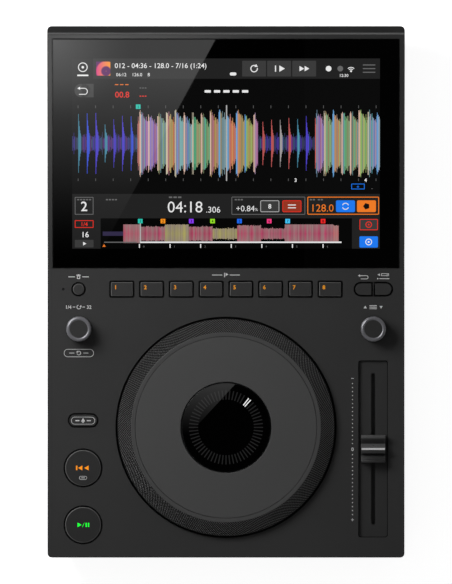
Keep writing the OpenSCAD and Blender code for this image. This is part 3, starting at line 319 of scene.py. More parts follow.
def platter_paint():
    """Satin paint with a very fine turned grain."""
    finish = Finish("platter_paint")
    rings = finish.line_noise(span(finish.x, finish.y - JOG_Y), 4000)
    base = finish.mix(rings.ramp(), grey(76), grey(78))
    rough = finish.noise(20, 3).ramp(0.3, 0.7, 0.5, 0.56)
    normal = finish.bump(rings, 0.06, finish.soft_edges(0.2), GRAIN_DEPTH / 2)
    return finish.surface(base, rough, normal=normal)


def knob_finish():
    """Satin metal with a dark recessed top, and a foot painted dark as shade where it meets the
    deck.
    """
    finish = Finish("knob_satin_metal")
    radius = span(abs(finish.x) - KNOB_X * MM, finish.y - KNOB_Y * MM)
    top = (finish.z > KNOB_TOP - 1.2 * MM) * (radius < 6.28 * MM)
    # The foot is painted dark, as shade just above the deck.
    foot = finish.z < KNOB_FOOT + 1.6 * MM
    dark = top + foot
    grain = finish.noise(2600)
    body = finish.mix(grain.ramp(), tint(126, 126, 130), tint(138, 138, 143))
    base = finish.mix(foot, finish.mix(top, body, grey(42)), grey(22))
    rough = dark.ramp(0, 1, 0.34, 0.5) + (grain - 0.5) * 0.06
    return finish.surface(base, rough, dark.ramp(0, 1, 0.35, 0), normal=finish.bump(grain, 0.05))


def two_part(name, region, first, second):
    """Moulding and metal in one node, split by a test on the place."""
    finish = Finish(name)
    inside = region(finish)
    grain = finish.noise(900)
    base = finish.mix(inside, first["colour"], second["colour"])
    rough = inside.ramp(0, 1, first["rough"], second["rough"]) + (grain - 0.5) * 0.1
    metal = inside.ramp(0, 1, first["metal"], second["metal"])
    return finish.surface(base, rough, metal, normal=finish.bump(grain, 0.2))


NICKEL = {"colour": tint(205, 202, 192), "rough": 0.28, "metal": 1}
BLACK_NYLON = {"colour": grey(30), "rough": 0.5, "metal": 0}
INLET_X, INLET_Z, PIN_BACK, PIN_TIP = 80 * MM, 30 * MM, 157.6 * MM, 173.6 * MM
PHONO_STEP, PHONO_Z, SLEEVE_Y = 18 * MM, 22.6 * MM, 174 * MM


def inlet_pins(place):
    """The three pins of the mains inlet: two level with each other and one above them."""
    away, rise = abs(place.x - INLET_X), place.z - INLET_Z
    outer = (abs(away - 7 * MM) < 1.1 * MM) * (abs(rise + 2 * MM) < 2.1 * MM)
    earth = (away < 1.1 * MM) * (abs(rise - 2 * MM) < 2.1 * MM)
    return (outer + earth) * (place.y < PIN_TIP) * (place.y > PIN_BACK)


def phono_finish():
    """Nickel sleeves on black blocks, with coloured insulators in their mouths."""
    finish = Finish("phono_jack")
    step = finish.x / PHONO_STEP
    away = ((step + 3.5).fract() - 0.5) * PHONO_STEP
    mouth = (span(away, finish.z - PHONO_Z) < 3.2 * MM) * (finish.y > SLEEVE_Y + 0.6 * MM)
    sleeve = (finish.y > SLEEVE_Y) * (1 - mouth)
    grain = finish.noise(900)
    left_right = finish.mix(step > -3.5, grey(205), tint(176, 26, 22))
    insulator = finish.mix(step > -4.5, tint(214, 110, 20), left_right)
    block = finish.mix(sleeve, BLACK_NYLON["colour"], NICKEL["colour"])
    base = finish.mix(mouth, block, insulator)
    rough = sleeve.ramp(0, 1, 0.5, 0.28) + (grain - 0.5) * 0.1
    return finish.surface(base, rough, sleeve, normal=finish.bump(grain, 0.2))


rim_plastic = moulded_plastic("rim_plastic", 75, 0.46, 0.2)
grip_plastic = grip_moulding()
skirt_plastic = moulded_plastic("skirt_plastic", 17, 0.5, 0.1, 0.05, 0.25)
knob_metal = knob_finish()

dressing = {
    # Deck and screen frame are painted darker behind the ridge, as shade on the rear slope.
    moulded_plastic("deck_plastic", 55, 0.55, shine=0.3, rear_shade_tone=24): "top_case",
    moulded_plastic("screen_frame_plastic", 60, 0.17, 0.1, 0.3, 0.9, 26): "screen_bezel",
    moulded_plastic("lower_case_plastic", 40, 0.55, 0.5): "bottom_case",
    moulded_plastic("rear_panel_plastic", 34, 0.5): "rear_panel",
    moulded_plastic("recess_plastic", 47, 0.5): "fader_plate",
    moulded_plastic("black_nylon", 30, 0.5):
        "jog_post jog_sensor beat_loop_plunger browse_plunger",
    moulded_plastic("fader_housing_plastic", 62, 0.5): "fader_body",
    moulded_plastic("switch_plastic", 26, 0.3, 0.1): "key_switches power_switch power_rocker",
    # Near-black coat on the plate, kept this dark so the gap round the wheel reads as painted
    # shade.
    moulded_plastic("black_paint_gap_shade", 14, 0.6): "jog_plate",
    key_moulding("key_plastic", 56, 106): "delete_key back_key tag_key shift_key "
    + " ".join("hot_cue_key_%d" % number for number in HOT_CUES),
    key_moulding("round_key_plastic", 47, 112): "cue_key play_key",
    polished_cover("cover_glass", 2, 0.008): "screen_glass",
    polished_cover("jog_window", 3, 0.01): "jog_lens",
    plated_metal("zinc_plated_sheet", tint(186, 188, 190), 0.38, (60, 900, 60)):
        "lcd_bracket lcd_module",
    plated_metal("cast_alloy", tint(150, 151, 154), 0.5, (300, 300, 300)):
        "jog_hub beat_loop_encoder browse_encoder",
    plated_metal("bearing_steel", tint(205, 206, 208), 0.16, (200, 200, 1500), 0.05):
        "bearing_inner_race bearing_outer_race bearing_balls",
    plated_metal("cage_brass", tint(196, 164, 92), 0.3): "bearing_cage",
    plated_metal("shaft_steel", tint(196, 197, 200), 0.22, (150, 150, 1600)):
        "fader_lever beat_loop_shaft browse_shaft encoder_disc",
    plated_metal("black_zinc_screw", tint(52, 52, 56), 0.4): "case_screws",
    plated_metal("black_anodised_alloy", tint(38, 38, 40), 0.45, (900, 60, 60)): "heat_sink",
    circuit_board("green_solder_mask", tint(10, 78, 42), tint(22, 112, 62), tint(196, 178, 120)):
        "main_board power_supply",
    circuit_board("black_solder_mask", grey(12), grey(20), grey(30)): "control_board jog_display",
    foot_rubber(): "rubber_feet",
    platter_paint(): "jog_platter",
    phono_finish(): "rca_jacks",
    two_part("usb_shell", lambda place: place.y < 160 * MM, NICKEL, BLACK_NYLON): "usb_sockets",
    two_part("network_shell", lambda place: place.y < 162 * MM, NICKEL, BLACK_NYLON): "lan_socket",
    two_part("inlet_moulding", inlet_pins, BLACK_NYLON, NICKEL): "mains_inlet",
}
for material, names in dressing.items():
    for name in names.split():
        nodes[name].data.materials.clear()
        nodes[name].data.materials.append(material)

# ---- modelling tools


def choose(*pieces):
    """Selects only these pieces, with the first of them active."""
    bpy.ops.object.select_all(action="DESELECT")
    for piece in pieces:
        piece.select_set(True)
    if pieces:
        bpy.context.view_layer.objects.active = pieces[0]


def edit():
    """Opens the active piece for editing, all of it selected."""
    bpy.ops.object.mode_set(mode="EDIT")
    mesh.select_mode(type="VERT")
    mesh.select_all(action="SELECT")


def begin(add, **options):
    """Adds a primitive and opens it for editing, all of it selected."""
    choose()
    add(**options)
    settle(bpy.context.object)
    edit()


def pick(kind, test):
    """Selects only the faces, edges or points of the open piece that pass the test."""
    mesh.select_all(action="DESELECT")
    mesh.select_mode(type=kind)
    shape = bmesh.from_edit_mesh(bpy.context.object.data)
    for part in {"VERT": shape.verts, "EDGE": shape.edges, "FACE": shape.faces}[kind]:
        if test(part):
            part.select_set(True)
    shape.select_flush_mode()
    bmesh.update_edit_mesh(bpy.context.object.data)


def leave():
    """Closes the open piece and gives it."""
    bpy.ops.object.mode_set(mode="OBJECT")
    return bpy.context.object


def settle(piece):
    """Moves the place of a piece from its object into its mesh."""
    choose(piece)
    bpy.ops.object.transform_apply(location=True, rotation=True, scale=True)


def mount(piece, name, body, material, replaces=(), smooth=30):
    """Names a finished piece, dresses it and fixes it to its body."""
    settle(piece)
    piece.name = name
    piece.data.materials.clear()
    piece.data.materials.append(material)
    if smooth:
        bpy.ops.object.shade_smooth_by_angle(angle=math.radians(smooth))
    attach(piece, body)
    if replaces:
        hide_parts(*replaces)


def chain(points):
    """Opens a new piece that is a string of points, each drawn out from the last."""
    begin(mesh.primitive_plane_add, size=MM, location=points[0])
    mesh.merge(type="CENTER")
    for start, end in zip(points, points[1:]):
        step = Vector(end) - Vector(start)
        mesh.extrude_region_move(TRANSFORM_OT_translate={"value": step})
    mesh.select_all(action="SELECT")


def turned(profile, steps, x=0, y=JOG_Y):
    """Opens a new piece turned about an upright axis from a profile of radii and heights."""
    chain([(x + radius, y, height) for radius, height in profile])
    mesh.spin(steps=steps, angle=math.tau, center=(x, y, 0), axis=(0, 0, 1))
    mesh.select_all(action="SELECT")
    mesh.remove_doubles(threshold=1e-6)
    mesh.normals_make_consistent(inside=False)


# ---- flat prints, placed in millimetres

DIGIT_HEIGHT = 0.72
SKIN = 0.02 * MM

def lay(piece, x, y, turn=0):
    """Puts a flat shape at its place in millimetres, turned in degrees."""
    piece.location = (x * MM, y * MM, 0)
    piece.rotation_euler = (0, 0, math.radians(turn))
    settle(piece)
    return piece


def hollow(line):
    """Leaves of the open shape only a line along its edge."""
    pick("FACE", lambda face: True)
    mesh.inset(thickness=line * MM)
    mesh.delete(type="FACE")


def panel(x, y, width, height, corner=0.6, line=None, turn=0):
    """Flat rectangle with round corners, or only its outline when a line width is given."""
    begin(mesh.primitive_plane_add, size=1)
    bpy.ops.transform.resize(value=(width * MM, height * MM, 1))
    if corner:
        limit = min(width, height) / 2 - 0.001
        mesh.bevel(affect="VERTICES", offset=min(corner, limit) * MM, segments=5)
    if line:
        hollow(line)
    return lay(leave(), x, y, turn)


def bar(x, y, width, height, turn=0):
    """Flat strip with square corners."""
    return panel(x, y, width, height, 0, turn=turn)


def bars(places, y, width, height):
    """Equal flat strips at places from left to right."""
    return [bar(x, y, width, height) for x in places]


def disc(x, y, radius, corners=24, turn=0, line=None):
    """Flat disc or polygon, or a ring when a line width is given."""
    circle = {"radius": radius * MM, "vertices": corners, "fill_type": "NGON"}
    begin(mesh.primitive_circle_add, **circle)
    if line:
        hollow(line)
    return lay(leave(), x, y, turn)


def arrow(x, y, radius, towards=0):
    """Flat triangle that points a way given in degrees from the right."""
    return disc(x, y, radius, corners=3, turn=towards - 90)


def arc(x, y, radius, line, start, end):
    """Part of a ring between two angles in degrees, counted from the right."""
    rise = math.radians(start)
    reaches = (radius - line / 2) * MM, (radius + line / 2) * MM
    chain([(reach * math.cos(rise), reach * math.sin(rise), 0) for reach in reaches])
    mesh.spin(steps=18, angle=math.radians(start - end), center=(0, 0, 0), axis=(0, 0, 1))
    return lay(leave(), x, y)


def figures(text, x, y, height, align="CENTER", weight=0):
    """Numbers and signs as flat shapes, their foot at y."""
    choose()
    bpy.ops.object.text_add()
    writing = bpy.context.object.data
    writing.body = text
    writing.align_x = align
    writing.size = height * MM / DIGIT_HEIGHT
    writing.offset = weight * MM
    writing.resolution_u = 3
    bpy.ops.object.convert(target="MESH")
    return lay(bpy.context.object, x, y)


def printed(name, body, material, where, *shapes):
    """Joins flat shapes into one print, face up, and lays it at its place."""
    choose(*shapes)
    if len(shapes) > 1:
        bpy.ops.object.join()
    edit()
    mesh.remove_doubles(threshold=1e-7)
    pick("FACE", lambda face: face.normal.z < 0)
    mesh.flip_normals()
    piece = leave()
    piece.matrix_world = where @ piece.matrix_world
    mount(piece, name, body, material, smooth=0)


def raised(height):
    """Place of a print on a level face at that height."""
    return Matrix.Translation((0, 0, height + SKIN))


# ---- jog wheel

SKIRT_Z, WEB_Z, PLATTER_Z = 58 * MM, 70.6 * MM, 72.8 * MM
SKIRT_OUT, SKIRT_IN, WEB_IN = 76.8 * MM, 74.8 * MM, 58 * MM
ROUND_STEPS = 192

top = [
    (RIM_IN, JOG_TOP - 0.15 * MM), (RIM_IN + 0.15 * MM, JOG_TOP),
    (RIM_TOP - 0.3 * MM, JOG_TOP), (RIM_TOP, GRIP_HIGH),
]
turned(top, ROUND_STEPS)
mount(leave(), "jog_rim_top", "jog_wheel", rim_plastic, smooth=20)

skirt = [
    (RIM_OUT, GRIP_LOW), (SKIRT_OUT - 0.05 * MM, GRIP_LOW - 0.35 * MM),
    (SKIRT_OUT, GRIP_LOW - 0.8 * MM), (SKIRT_OUT, SKIRT_Z + 0.3 * MM),
    (SKIRT_OUT - 0.3 * MM, SKIRT_Z), (SKIRT_IN, SKIRT_Z), (SKIRT_IN, 67.1 * MM),
    (69.6 * MM, WEB_Z), (WEB_IN, WEB_Z), (WEB_IN, PLATTER_Z), (RIM_IN, PLATTER_Z),
    (RIM_IN, JOG_TOP - 0.15 * MM),
]
turned(skirt, ROUND_STEPS)
mount(leave(), "jog_rim_skirt", "jog_wheel", skirt_plastic, smooth=40)


def grip_step(row):
    """Radius and height of the grip at the top of a row."""
    part = row / GRIP_ROWS
    return RIM_TOP + (RIM_OUT - RIM_TOP) * part, GRIP_HIGH + (GRIP_LOW - GRIP_HIGH) * part


def row_of(point):
    """Row of the grip on which a point lies, counted from the top."""
    return (GRIP_HIGH - point.co.z) / (GRIP_HIGH - GRIP_LOW) * GRIP_ROWS


def between_points(edge):
    """True for the edges of the grid itself, not those drawn from the middles of its cells."""
    return all(abs(row_of(point) - round(row_of(point))) < 0.1 for point in edge.verts)


def on_peak(point):
    """True for the points in the middle of a cell's sides, where the diamonds rise."""
    row = row_of(point)
    column = math.atan2(point.co.y - JOG_Y, point.co.x) / math.tau * GRIP_COUNT
    halfway_down = abs(row - round(row)) > 0.4
    halfway_across = abs(column - round(column)) > 0.4
    return halfway_down != halfway_across and 0.1 < row < GRIP_ROWS - 0.1


turned([grip_step(row) for row in range(GRIP_ROWS + 1)], GRIP_COUNT)
mesh.poke()
pick("EDGE", between_points)
mesh.subdivide(number_cuts=1)
mesh.select_all(action="SELECT")
mesh.quads_convert_to_tris(quad_method="SHORTEST_DIAGONAL")
pick("VERT", on_peak)
bpy.ops.transform.shrink_fatten(value=GRIP_RISE)
mount(leave(), "jog_grip", "jog_wheel", grip_plastic, replaces=["jog_ring"], smooth=5)

# ---- knobs

FLUTES, FLUTE_PARTS = 20, 6
FLUTE_FOOT, FLUTE_TOP, FLUTE_OUT, FLUTE_IN = 67 * MM, 75 * MM, 8.85 * MM, 8 * MM


def knob(node, body, x):
    """Fluted knob with a rounded shoulder and a raised ring round its dark top."""
    y = KNOB_Y * MM
    centre = Vector((x, y, 0))
    outside = [
        (7.4, 65), (8.95, 65), (9.1, 65.15), (9.1, 66.4), (8.95, 66.5), (8.9, 67.1), (8.8, 74.9),
        (8.78, 76), (8.74, 76.7), (8.64, 77.1), (8.48, 77.32), (8.25, 77.47), (8, 77.57),
        (7.75, 77.66), (7.58, 77.73), (7.42, 77.79), (7.3, 77.8), (7.15, 77.77), (6.95, 77.7),
        (6.7, 77.6), (6.5, 77.52), (6.36, 77.4), (6.3, 77.3), (6.2, 77.3), (0, 77.3),
    ]
    inside = [(0, 75.6), (3.05, 75.6), (3.05, 67.8), (7.4, 67.8), (7.4, 65)]
    profile = [(radius * MM, height * MM) for radius, height in outside + inside]
    turned(profile, FLUTES * FLUTE_PARTS, x, y)
    for offsets, depth in (((0,), 0.45 * MM), ((1, FLUTE_PARTS - 1), 0.22 * MM)):

        def in_flute(point):
            away = point.co - centre
            step = round(math.atan2(away.y, away.x) / math.tau * FLUTES * FLUTE_PARTS)
            on_flank = FLUTE_FOOT < away.z < FLUTE_TOP and away.xy.length > FLUTE_IN
            return on_flank and step % FLUTE_PARTS in offsets

        pick("VERT", in_flute)
        narrower = 1 - depth / FLUTE_OUT
        bpy.ops.transform.resize(value=(narrower, narrower, 1), center_override=centre)
    mount(leave(), node + "_shell", body, knob_metal, replaces=[node], smooth=35)


knob("beat_loop_knob", "beat_loop_dial", -KNOB_X * MM)
knob("browse_knob", "browse_dial", KNOB_X * MM)

# ---- jog display

TICKS, TICK_MIDDLE, POINTER = 60, 22.9, 50
on_window = Matrix.Translation((0, JOG_Y, JOG_TOP + SKIN))


def tick(angle, length, width):
    """Radial stroke on the round display, at an angle in degrees."""
    turn = math.radians(angle)
    return bar(TICK_MIDDLE * math.cos(turn), TICK_MIDDLE * math.sin(turn), length, width, angle)


angles = [360 / TICKS * number for number in range(TICKS)]
dim = [tick(angle, 6.5, 0.8) for angle in angles if abs(angle - POINTER) > 5]
bright = [tick(POINTER + side, 6.3, 0.68) for side in (-2, 2)]
printed("display_ticks", "chassis", lit("display_tick_dim", 33), on_window, *dim)
printed("display_pointer", "chassis", lit("display_tick_lit", 250), on_window, *bright)

# ---- screen picture

PICTURE_W, PICTURE_D = 217, 135.56
PICTURE_BACK = 149.76
HEADER_LEFT, HEADER_FOOT, STATUS_TOP, STATUS_FOOT = 14.9, 14.4, 96.5, 113.9
WAVE_START, WAVE_MIDDLE, WAVE_HALF, BEAT = 4.2, 60.5, 24, 12.36
LOUD_START, LOUD_END, LOUD_AGAIN = 46, 131, 172
MARKS_ABOVE, MARKS_BELOW = 34.4, 86.4
STRIP_LEFT, STRIP_RIGHT, STRIP_MIDDLE, STRIP_HALF, STRIP_PART = 36, 188, 124.9, 6.6, 17
SIDE_LEFT, SIDE_RIGHT = 20, 197.4
WAVE_COLUMN, STRIP_COLUMN = 0.36, 0.6
slope = Matrix.Translation((0, SCREEN_FRONT, DECK_Z)) @ Matrix.Rotation(SCREEN_TILT, 4, "X")


def picture_finish():
    """Lit picture: bars, a coloured sound wave and, below it, a strip with the whole track."""
    finish = Finish("screen_picture")
    right = finish.x / MM + PICTURE_W / 2
    run, rise = finish.y - SCREEN_FRONT, finish.z - DECK_Z
    down = PICTURE_BACK - (run * math.cos(SCREEN_TILT) + rise * math.sin(SCREEN_TILT)) / MM

    def chance(value, seed):
        inputs = {"W": value + seed}
        return finish.node("TexWhiteNoise", {"noise_dimensions": "1D"}, inputs)

    def colours(value, *tones):
        stops = [(number / len(tones), tint(*tone)) for number, tone in enumerate(tones)]
        return finish.node("ValToRGB", {"stops": stops}, {"Fac": value})

    column = (right / WAVE_COLUMN).floor() * WAVE_COLUMN
    half_beat = (column - WAVE_START) / (BEAT / 2)
    beat_number, beat_part = half_beat.floor(), half_beat.fract()
    loud = (column > LOUD_START) * (column < LOUD_END) + (column > LOUD_AGAIN)
    ragged = finish.line_noise(column + 3.1, 3.3, 1) - 0.5
    size_chance = chance(beat_number, 0.5)
    loud_size = size_chance.ramp(0, 1, 0.84, 1) - beat_part * 0.34 + ragged * 0.5
    quiet_peak = (beat_part * -4.6).exponent() * size_chance.ramp(0, 1, 0.68, 0.96)
    quiet_size = quiet_peak.highest(0.25 - beat_part * 0.08 + ragged * 0.4)
    size = (quiet_size + (loud_size - quiet_size) * loud).highest(0.08).lowest(1) * WAVE_HALF
    in_wave = abs(down - WAVE_MIDDLE) < size
    group = chance((column / 0.9).floor(), 7.7)
    beat_chance = chance(beat_number, 2.5)
    quiet_body = colours(
        group, (60, 62, 122), (72, 54, 150), (96, 52, 120), (58, 62, 92), (56, 92, 118)
    )
    quiet_tips = colours(
        beat_chance, (66, 92, 226), (174, 168, 168), (206, 98, 96), (86, 74, 214), (82, 150, 176)
    )
    loud_body = colours(
        group, (148, 184, 112), (186, 152, 104), (214, 124, 88), (98, 176, 130), (156, 138, 190),
        (196, 104, 84), (172, 162, 104), (122, 92, 150),
    )
    loud_beats = colours(
        beat_chance, (222, 138, 92), (104, 166, 218), (150, 196, 108), (142, 124, 214),
        (196, 174, 106), (82, 172, 132),
    )
    pale_tips = colours(
        chance(beat_number, 5.5), (224, 188, 170), (112, 172, 226), (214, 204, 180)
    )
    quiet_tones = finish.mix(beat_part < 0.3, quiet_body, quiet_tips)
    loud_tones = finish.mix(0.5, loud_body, loud_beats)
    loud_tones = finish.mix(beat_part < 0.16, loud_tones, pale_tips)
    wave = finish.mix(loud, quiet_tones, loud_tones)
    wave = finish.mix(chance(column, 1.5).ramp(0, 1, 0, 0.42), wave, grey(12))

    beats = (right - WAVE_START) / BEAT
    near_mark = abs(beats - beats.round()) < 0.016
    in_marks = (abs(down - MARKS_ABOVE) < 1) + (abs(down - MARKS_BELOW) < 0.9)

    column = (right / STRIP_COLUMN).floor() * STRIP_COLUMN
    part = ((column + 3) / STRIP_PART).floor()
    ragged = finish.line_noise(column + 8, 2.4, 1)
    strip_size = (chance(part, 5.3).ramp(0, 1, 0.44, 1.3) + ragged * 0.34 - 0.16).lowest(1)
    from_middle = abs(down - STRIP_MIDDLE)
    in_strip = (from_middle < strip_size * STRIP_HALF) * (right > STRIP_LEFT)
    in_strip = in_strip * (right < STRIP_RIGHT)
    strip_tones = colours(
        chance(part, 6.1), (188, 78, 104), (88, 158, 128), (180, 62, 96), (168, 160, 96),
        (194, 100, 104), (178, 66, 100),
    )
    slow = finish.line_noise(column + 5, 0.4, 1).ramp(0.3, 0.7, 0, 0.6)
    paler = (slow + from_middle / STRIP_HALF * 0.45).lowest(0.75)
    strip_tones = finish.mix(paler, strip_tones, tint(150, 134, 130))
    strip_tones = finish.mix(chance(column, 2.2) * 0.3, strip_tones, grey(40))
    played = (from_middle < 1.5) * (right > 21.5) * (right < STRIP_LEFT)

    header = (down < HEADER_FOOT) * (right > HEADER_LEFT)
    sides = (right < SIDE_LEFT) + (right > SIDE_RIGHT)
    bars = header + (down > STATUS_TOP) * ((down < STATUS_FOOT) + sides)
    picture = finish.mix(bars.lowest(1), grey(10), grey(34))
    picture = finish.mix((down > STATUS_FOOT) * (1 - sides), picture, grey(6))
    picture = finish.mix(in_wave, picture, wave)
    picture = finish.mix(near_mark * in_marks, picture, grey(92))
    picture = finish.mix(in_strip, picture, strip_tones)
    picture = finish.mix(played, picture, tint(50, 44, 72))
    rough = finish.noise(60, 3).ramp(0.3, 0.7, *GLASS_ROUGH)
    return finish.surface(grey(1), rough, emission_color=picture, emission_strength=1)


def tile_finish():
    """Cover picture of no particular record: rings of two warm colours."""
    finish = Finish("cover_tile")
    middle_x = (24 - PICTURE_W / 2) * MM
    middle_y = SCREEN_FRONT + (PICTURE_BACK - 9) * math.cos(SCREEN_TILT) * MM
    ring = (span(finish.x - middle_x, finish.y - middle_y) * 900).sine()
    warm = finish.mix(finish.x.ramp(-92 * MM, -82 * MM), tint(214, 40, 130), tint(246, 150, 40))
    shade = finish.mix(ring.ramp(-0.4, 0.4), warm, tint(92, 30, 96))
    return finish.surface(grey(1), 0.03, emission_color=shade, emission_strength=1)


def pictured(name, layer, material, *shapes):
    """Prints shapes on the glass, placed in millimetres from the picture's back left corner."""
    corner = Matrix.Translation((-PICTURE_W / 2 * MM, PICTURE_BACK * MM, layer * 0.012 * MM))
    printed(name, "chassis", material, slope @ corner, *shapes)


def written(text, x, y, height, align="CENTER", weight=0):
    """Figures with their middle at y."""
    return figures(text, x, y - height / 2, height, align, weight)


GLOWS = {
    "white": [236], "pale": [176], "grey": [104], "button": [60], "dark": [16], "icon": [228],
    "orange": [240, 124, 40], "red": [232, 50, 38], "brick": [150, 54, 36], "blue": [32, 122, 242],
}
glow = {name: lit("glow_" + name, *colour) for name, colour in GLOWS.items()}
TITLE_Y, BUTTON_Y, MARKER_Y, SPEED_Y, MODE_Y = -7.2, -105.3, -115.9, -118.4, -130.8
PLAYER_X, RANGE_X, HOLD_X, SYNC_X, MASTER_X, SIDE_X = 8.4, 139.4, 155, 192.8, 207.6, 209.2
BUTTON = {"width": 13.4, "height": 8.4, "corner": 1}
SIDE_BUTTON = {"width": 13, "height": 8, "corner": 0.8}
MINUTES, MINUTE = range(7), 21.6

backing = bar(PICTURE_W / 2, -PICTURE_D / 2, PICTURE_W, PICTURE_D)
pictured("screen_picture", 1, picture_finish(), backing)
pictured("picture_tile", 2, tile_finish(), panel(22, TITLE_Y, 10, 10, corner=0.3))
pictured(
    "picture_buttons", 2, glow["button"],
    *[panel(right, TITLE_Y, 16.8, 11.2, corner=0.5) for right in (128.3, 145.9, 163.6)],
    panel(7.2, -22.8, 11, 9.6, corner=4.7),
    bar(11, -22.8, 8.4, 9.6),
    panel(PLAYER_X, -132, 13.2, 5.4, corner=0.5),
    panel(RANGE_X, BUTTON_Y, **BUTTON),
    panel(SIDE_X, SPEED_Y, **SIDE_BUTTON),
)
pictured(
    "picture_grey_marks", 3, glow["grey"],
    panel(PLAYER_X, -105, 13.2, 12.6, corner=0.4, line=0.5),
    panel(138.4, -104.9, 52, 12.8, corner=0.6, line=0.45),
    bar(34, -131, 23, 0.7),
    *[bar(209.3, -down, 8.8, 0.7) for down in (4.6, 7.2, 9.8)],
    disc(189, TITLE_Y, 2),
    *bars((48.2, 50, 51.8), -21, 1.2, 0.6),
    *bars((4.2, 6.3, 8.4, 10.5, 12.6, 24.5, 26.6, 28.7, 30.8), -100.6, 1.5, 0.9),
    *bars((69.4, 72.6, 75.8), -98.9, 2.4, 1.1),
    *bars((115.4, 117.5, 119.6, 168.4, 170.5, 174, 176.1), -100.6, 1.5, 1),
    written("-", 211.5, -92.4, 2, weight=0.04),
    *[written(str(minute), 50.5 + MINUTE * minute, -134, 1.4) for minute in MINUTES],
)
pictured(
    "picture_white_marks", 4, glow["white"],
    disc(7.6, -6.2, 3.4, line=0.6),
    disc(7.6, -6.2, 0.9),
    panel(7.6, -12, 8, 1.1, corner=0.5),
    written("12:30", 191.5, -12, 2.1, weight=0.03),
    written("012 - 04:36 - 128.0 - 7/16 (1:24)", 30, -5, 3.6, "LEFT", 0.02),
    written("06:12    126.0    8", 31, -11.4, 2.4, "LEFT", 0.01),
    panel(113.5, -11, 4.6, 2.2, corner=1),
    arc(128.3, TITLE_Y, 2.3, 0.7, 60, 370),
    arrow(129.7, -5.3, 1.4, -30),
    panel(143.4, TITLE_Y, 0.8, 4.4, corner=0.2),
    arrow(147.4, TITLE_Y, 2.6),
    *[arrow(x, TITLE_Y, 2.2) for x in (161.4, 165)],
    disc(180.8, TITLE_Y, 2),
    disc(196.6, -9, 0.7),
    *[arc(196.6, -9.4, radius, 0.55, 45, 135) for radius in (1.9, 3.1)],
    arc(8.6, -23.4, 2.2, 0.55, -90, 90),
    *[bar(6.8, y, 3.8, 0.55) for y in (-25.5, -21.2)],
    arrow(5, -21.2, 1.3, 180),
    *[panel(right, -23.4, 4.4, 1.8, corner=0.4) for right in (95.6, 102.2, 108.8, 115.4, 122)],
    *[written(beat, x, -86.6, 2.6, weight=0.06) for beat, x in (("3", 157.6), ("4", 207))],
    written("2", PLAYER_X, -105.2, 7, weight=0.08),
    written("04:18", 67, -105.6, 8.2, "LEFT", -0.04),
    written(".306", 94.2, -107.6, 4.4, "LEFT", -0.01),
    written("+0.84", 115.4, -106.8, 4.2, "LEFT", -0.02),
    written("%", 130, -107.6, 2),
    written("16", 9, -125.4, 4, weight=0.05),
    written("8", RANGE_X, BUTTON_Y, 3.2, weight=0.08),
    arrow(PLAYER_X, -132, 1.5),
    disc(SIDE_X, MODE_Y, 2.4, line=0.6),
    disc(SIDE_X, MODE_Y, 0.7),
    bar(119, -131, 142, 1),
    *[bar(47.4 + MINUTE * minute, -133.6, 0.7, 2.8) for minute in MINUTES],
)
pictured(
    "picture_pale_marks", 3, glow["pale"],
    panel(108.9, -60.2, 0.85, 54, corner=0.2),
    panel(48, -124.6, 0.8, 14, corner=0.1),
    panel(RANGE_X, BUTTON_Y, **BUTTON, line=0.5),
)
pictured(
    "picture_orange_marks", 2, glow["orange"],
    panel(191.2, -104.9, 50.6, 12.8, corner=0.8, line=0.6),
    panel(MASTER_X, BUTTON_Y, **BUTTON),
    written("128.0", 168, -106.4, 5.4, "LEFT", -0.02),
    *bars((31.4, 35, 38.6), -18.6, 2.4, 0.6),
    arrow(22.4, -133.6, 1.3, 90),
)
pictured(
    "picture_red_marks", 3, glow["red"],
    panel(PLAYER_X, -118, 13.2, 5.4, corner=0.4, line=0.5),
    panel(SIDE_X, SPEED_Y, **SIDE_BUTTON, line=0.5),
    panel(HOLD_X, BUTTON_Y, **BUTTON, line=0.5),
    written("1/4", PLAYER_X, -118, 2.9, weight=0.04),
    written("00.8", 30.2, -25.6, 4.3, "LEFT", 0.04),
    *bars((48.2, 50, 51.8), -26.8, 1.2, 0.7),
    disc(SIDE_X, SPEED_Y, 2.3, line=0.6),
    disc(SIDE_X, SPEED_Y, 0.6),
)
pictured("picture_brick_button", 2, glow["brick"], panel(HOLD_X, BUTTON_Y, 13, 8, corner=0.9))
pictured(
    "picture_blue_marks", 2, glow["blue"],
    panel(SYNC_X, BUTTON_Y, **BUTTON),
    panel(SIDE_X, MODE_Y, **SIDE_BUTTON),
    panel(201.6, -91.2, 9.4, 4, corner=0.2, line=0.45),
    written("+", 201.6, -91.4, 2.4, weight=0.06),
)
pictured(
    "picture_button_icons", 4, glow["icon"],
    *[arc(SYNC_X, BUTTON_Y, 2.2, 0.6, start, start + 140) for start in (20, 200)],
    *[bar(HOLD_X, y, 5.6, 0.7) for y in (-104.4, -106.4)],
)
pictured("picture_star", 4, glow["dark"], disc(MASTER_X, BUTTON_Y, 2.4, corners=5, turn=18))

MARKERS = [
    (48, "teal", 44, 196, 176),
    (64, "orange", 246, 146, 30),
    (84, "violet", 140, 60, 246),
    (99, "lime", 150, 226, 40),
    (118, "blue", 30, 110, 250),
    (139, "rose", 246, 60, 130),
    (152, "sky", 70, 200, 250),
    (177, "red", 240, 40, 40),
]
for x, name, *colour in MARKERS:
    name = "marker_" + name
    pictured(name, 3, lit(name, *colour), panel(x, MARKER_Y, 3.3, 3.2, corner=0.2))
on_wave = panel(46.6, -34.3, 3.3, 3.2, corner=0.2)
pictured("marker_on_wave", 3, lit("marker_on_wave", 44, 196, 176), on_wave)
pictured(
    "marker_numbers", 4, glow["dark"],
    written("1", 46.6, -34.4, 2, weight=0.04),
    *[written(str(n), x, MARKER_Y, 2, weight=0.04) for n, (x, *_) in enumerate(MARKERS, 1)],
)

# ---- printed legends on the deck

pale_ink = ink("pale_ink", grey(232))
orange_ink = ink("orange_ink", tint(236, 152, 10), 0.3)
orange_light = ink("orange_light", tint(236, 138, 6), 0.7)
green_light = ink("green_light", tint(10, 240, 50), 0.9)
on_deck = raised(DECK_Z)

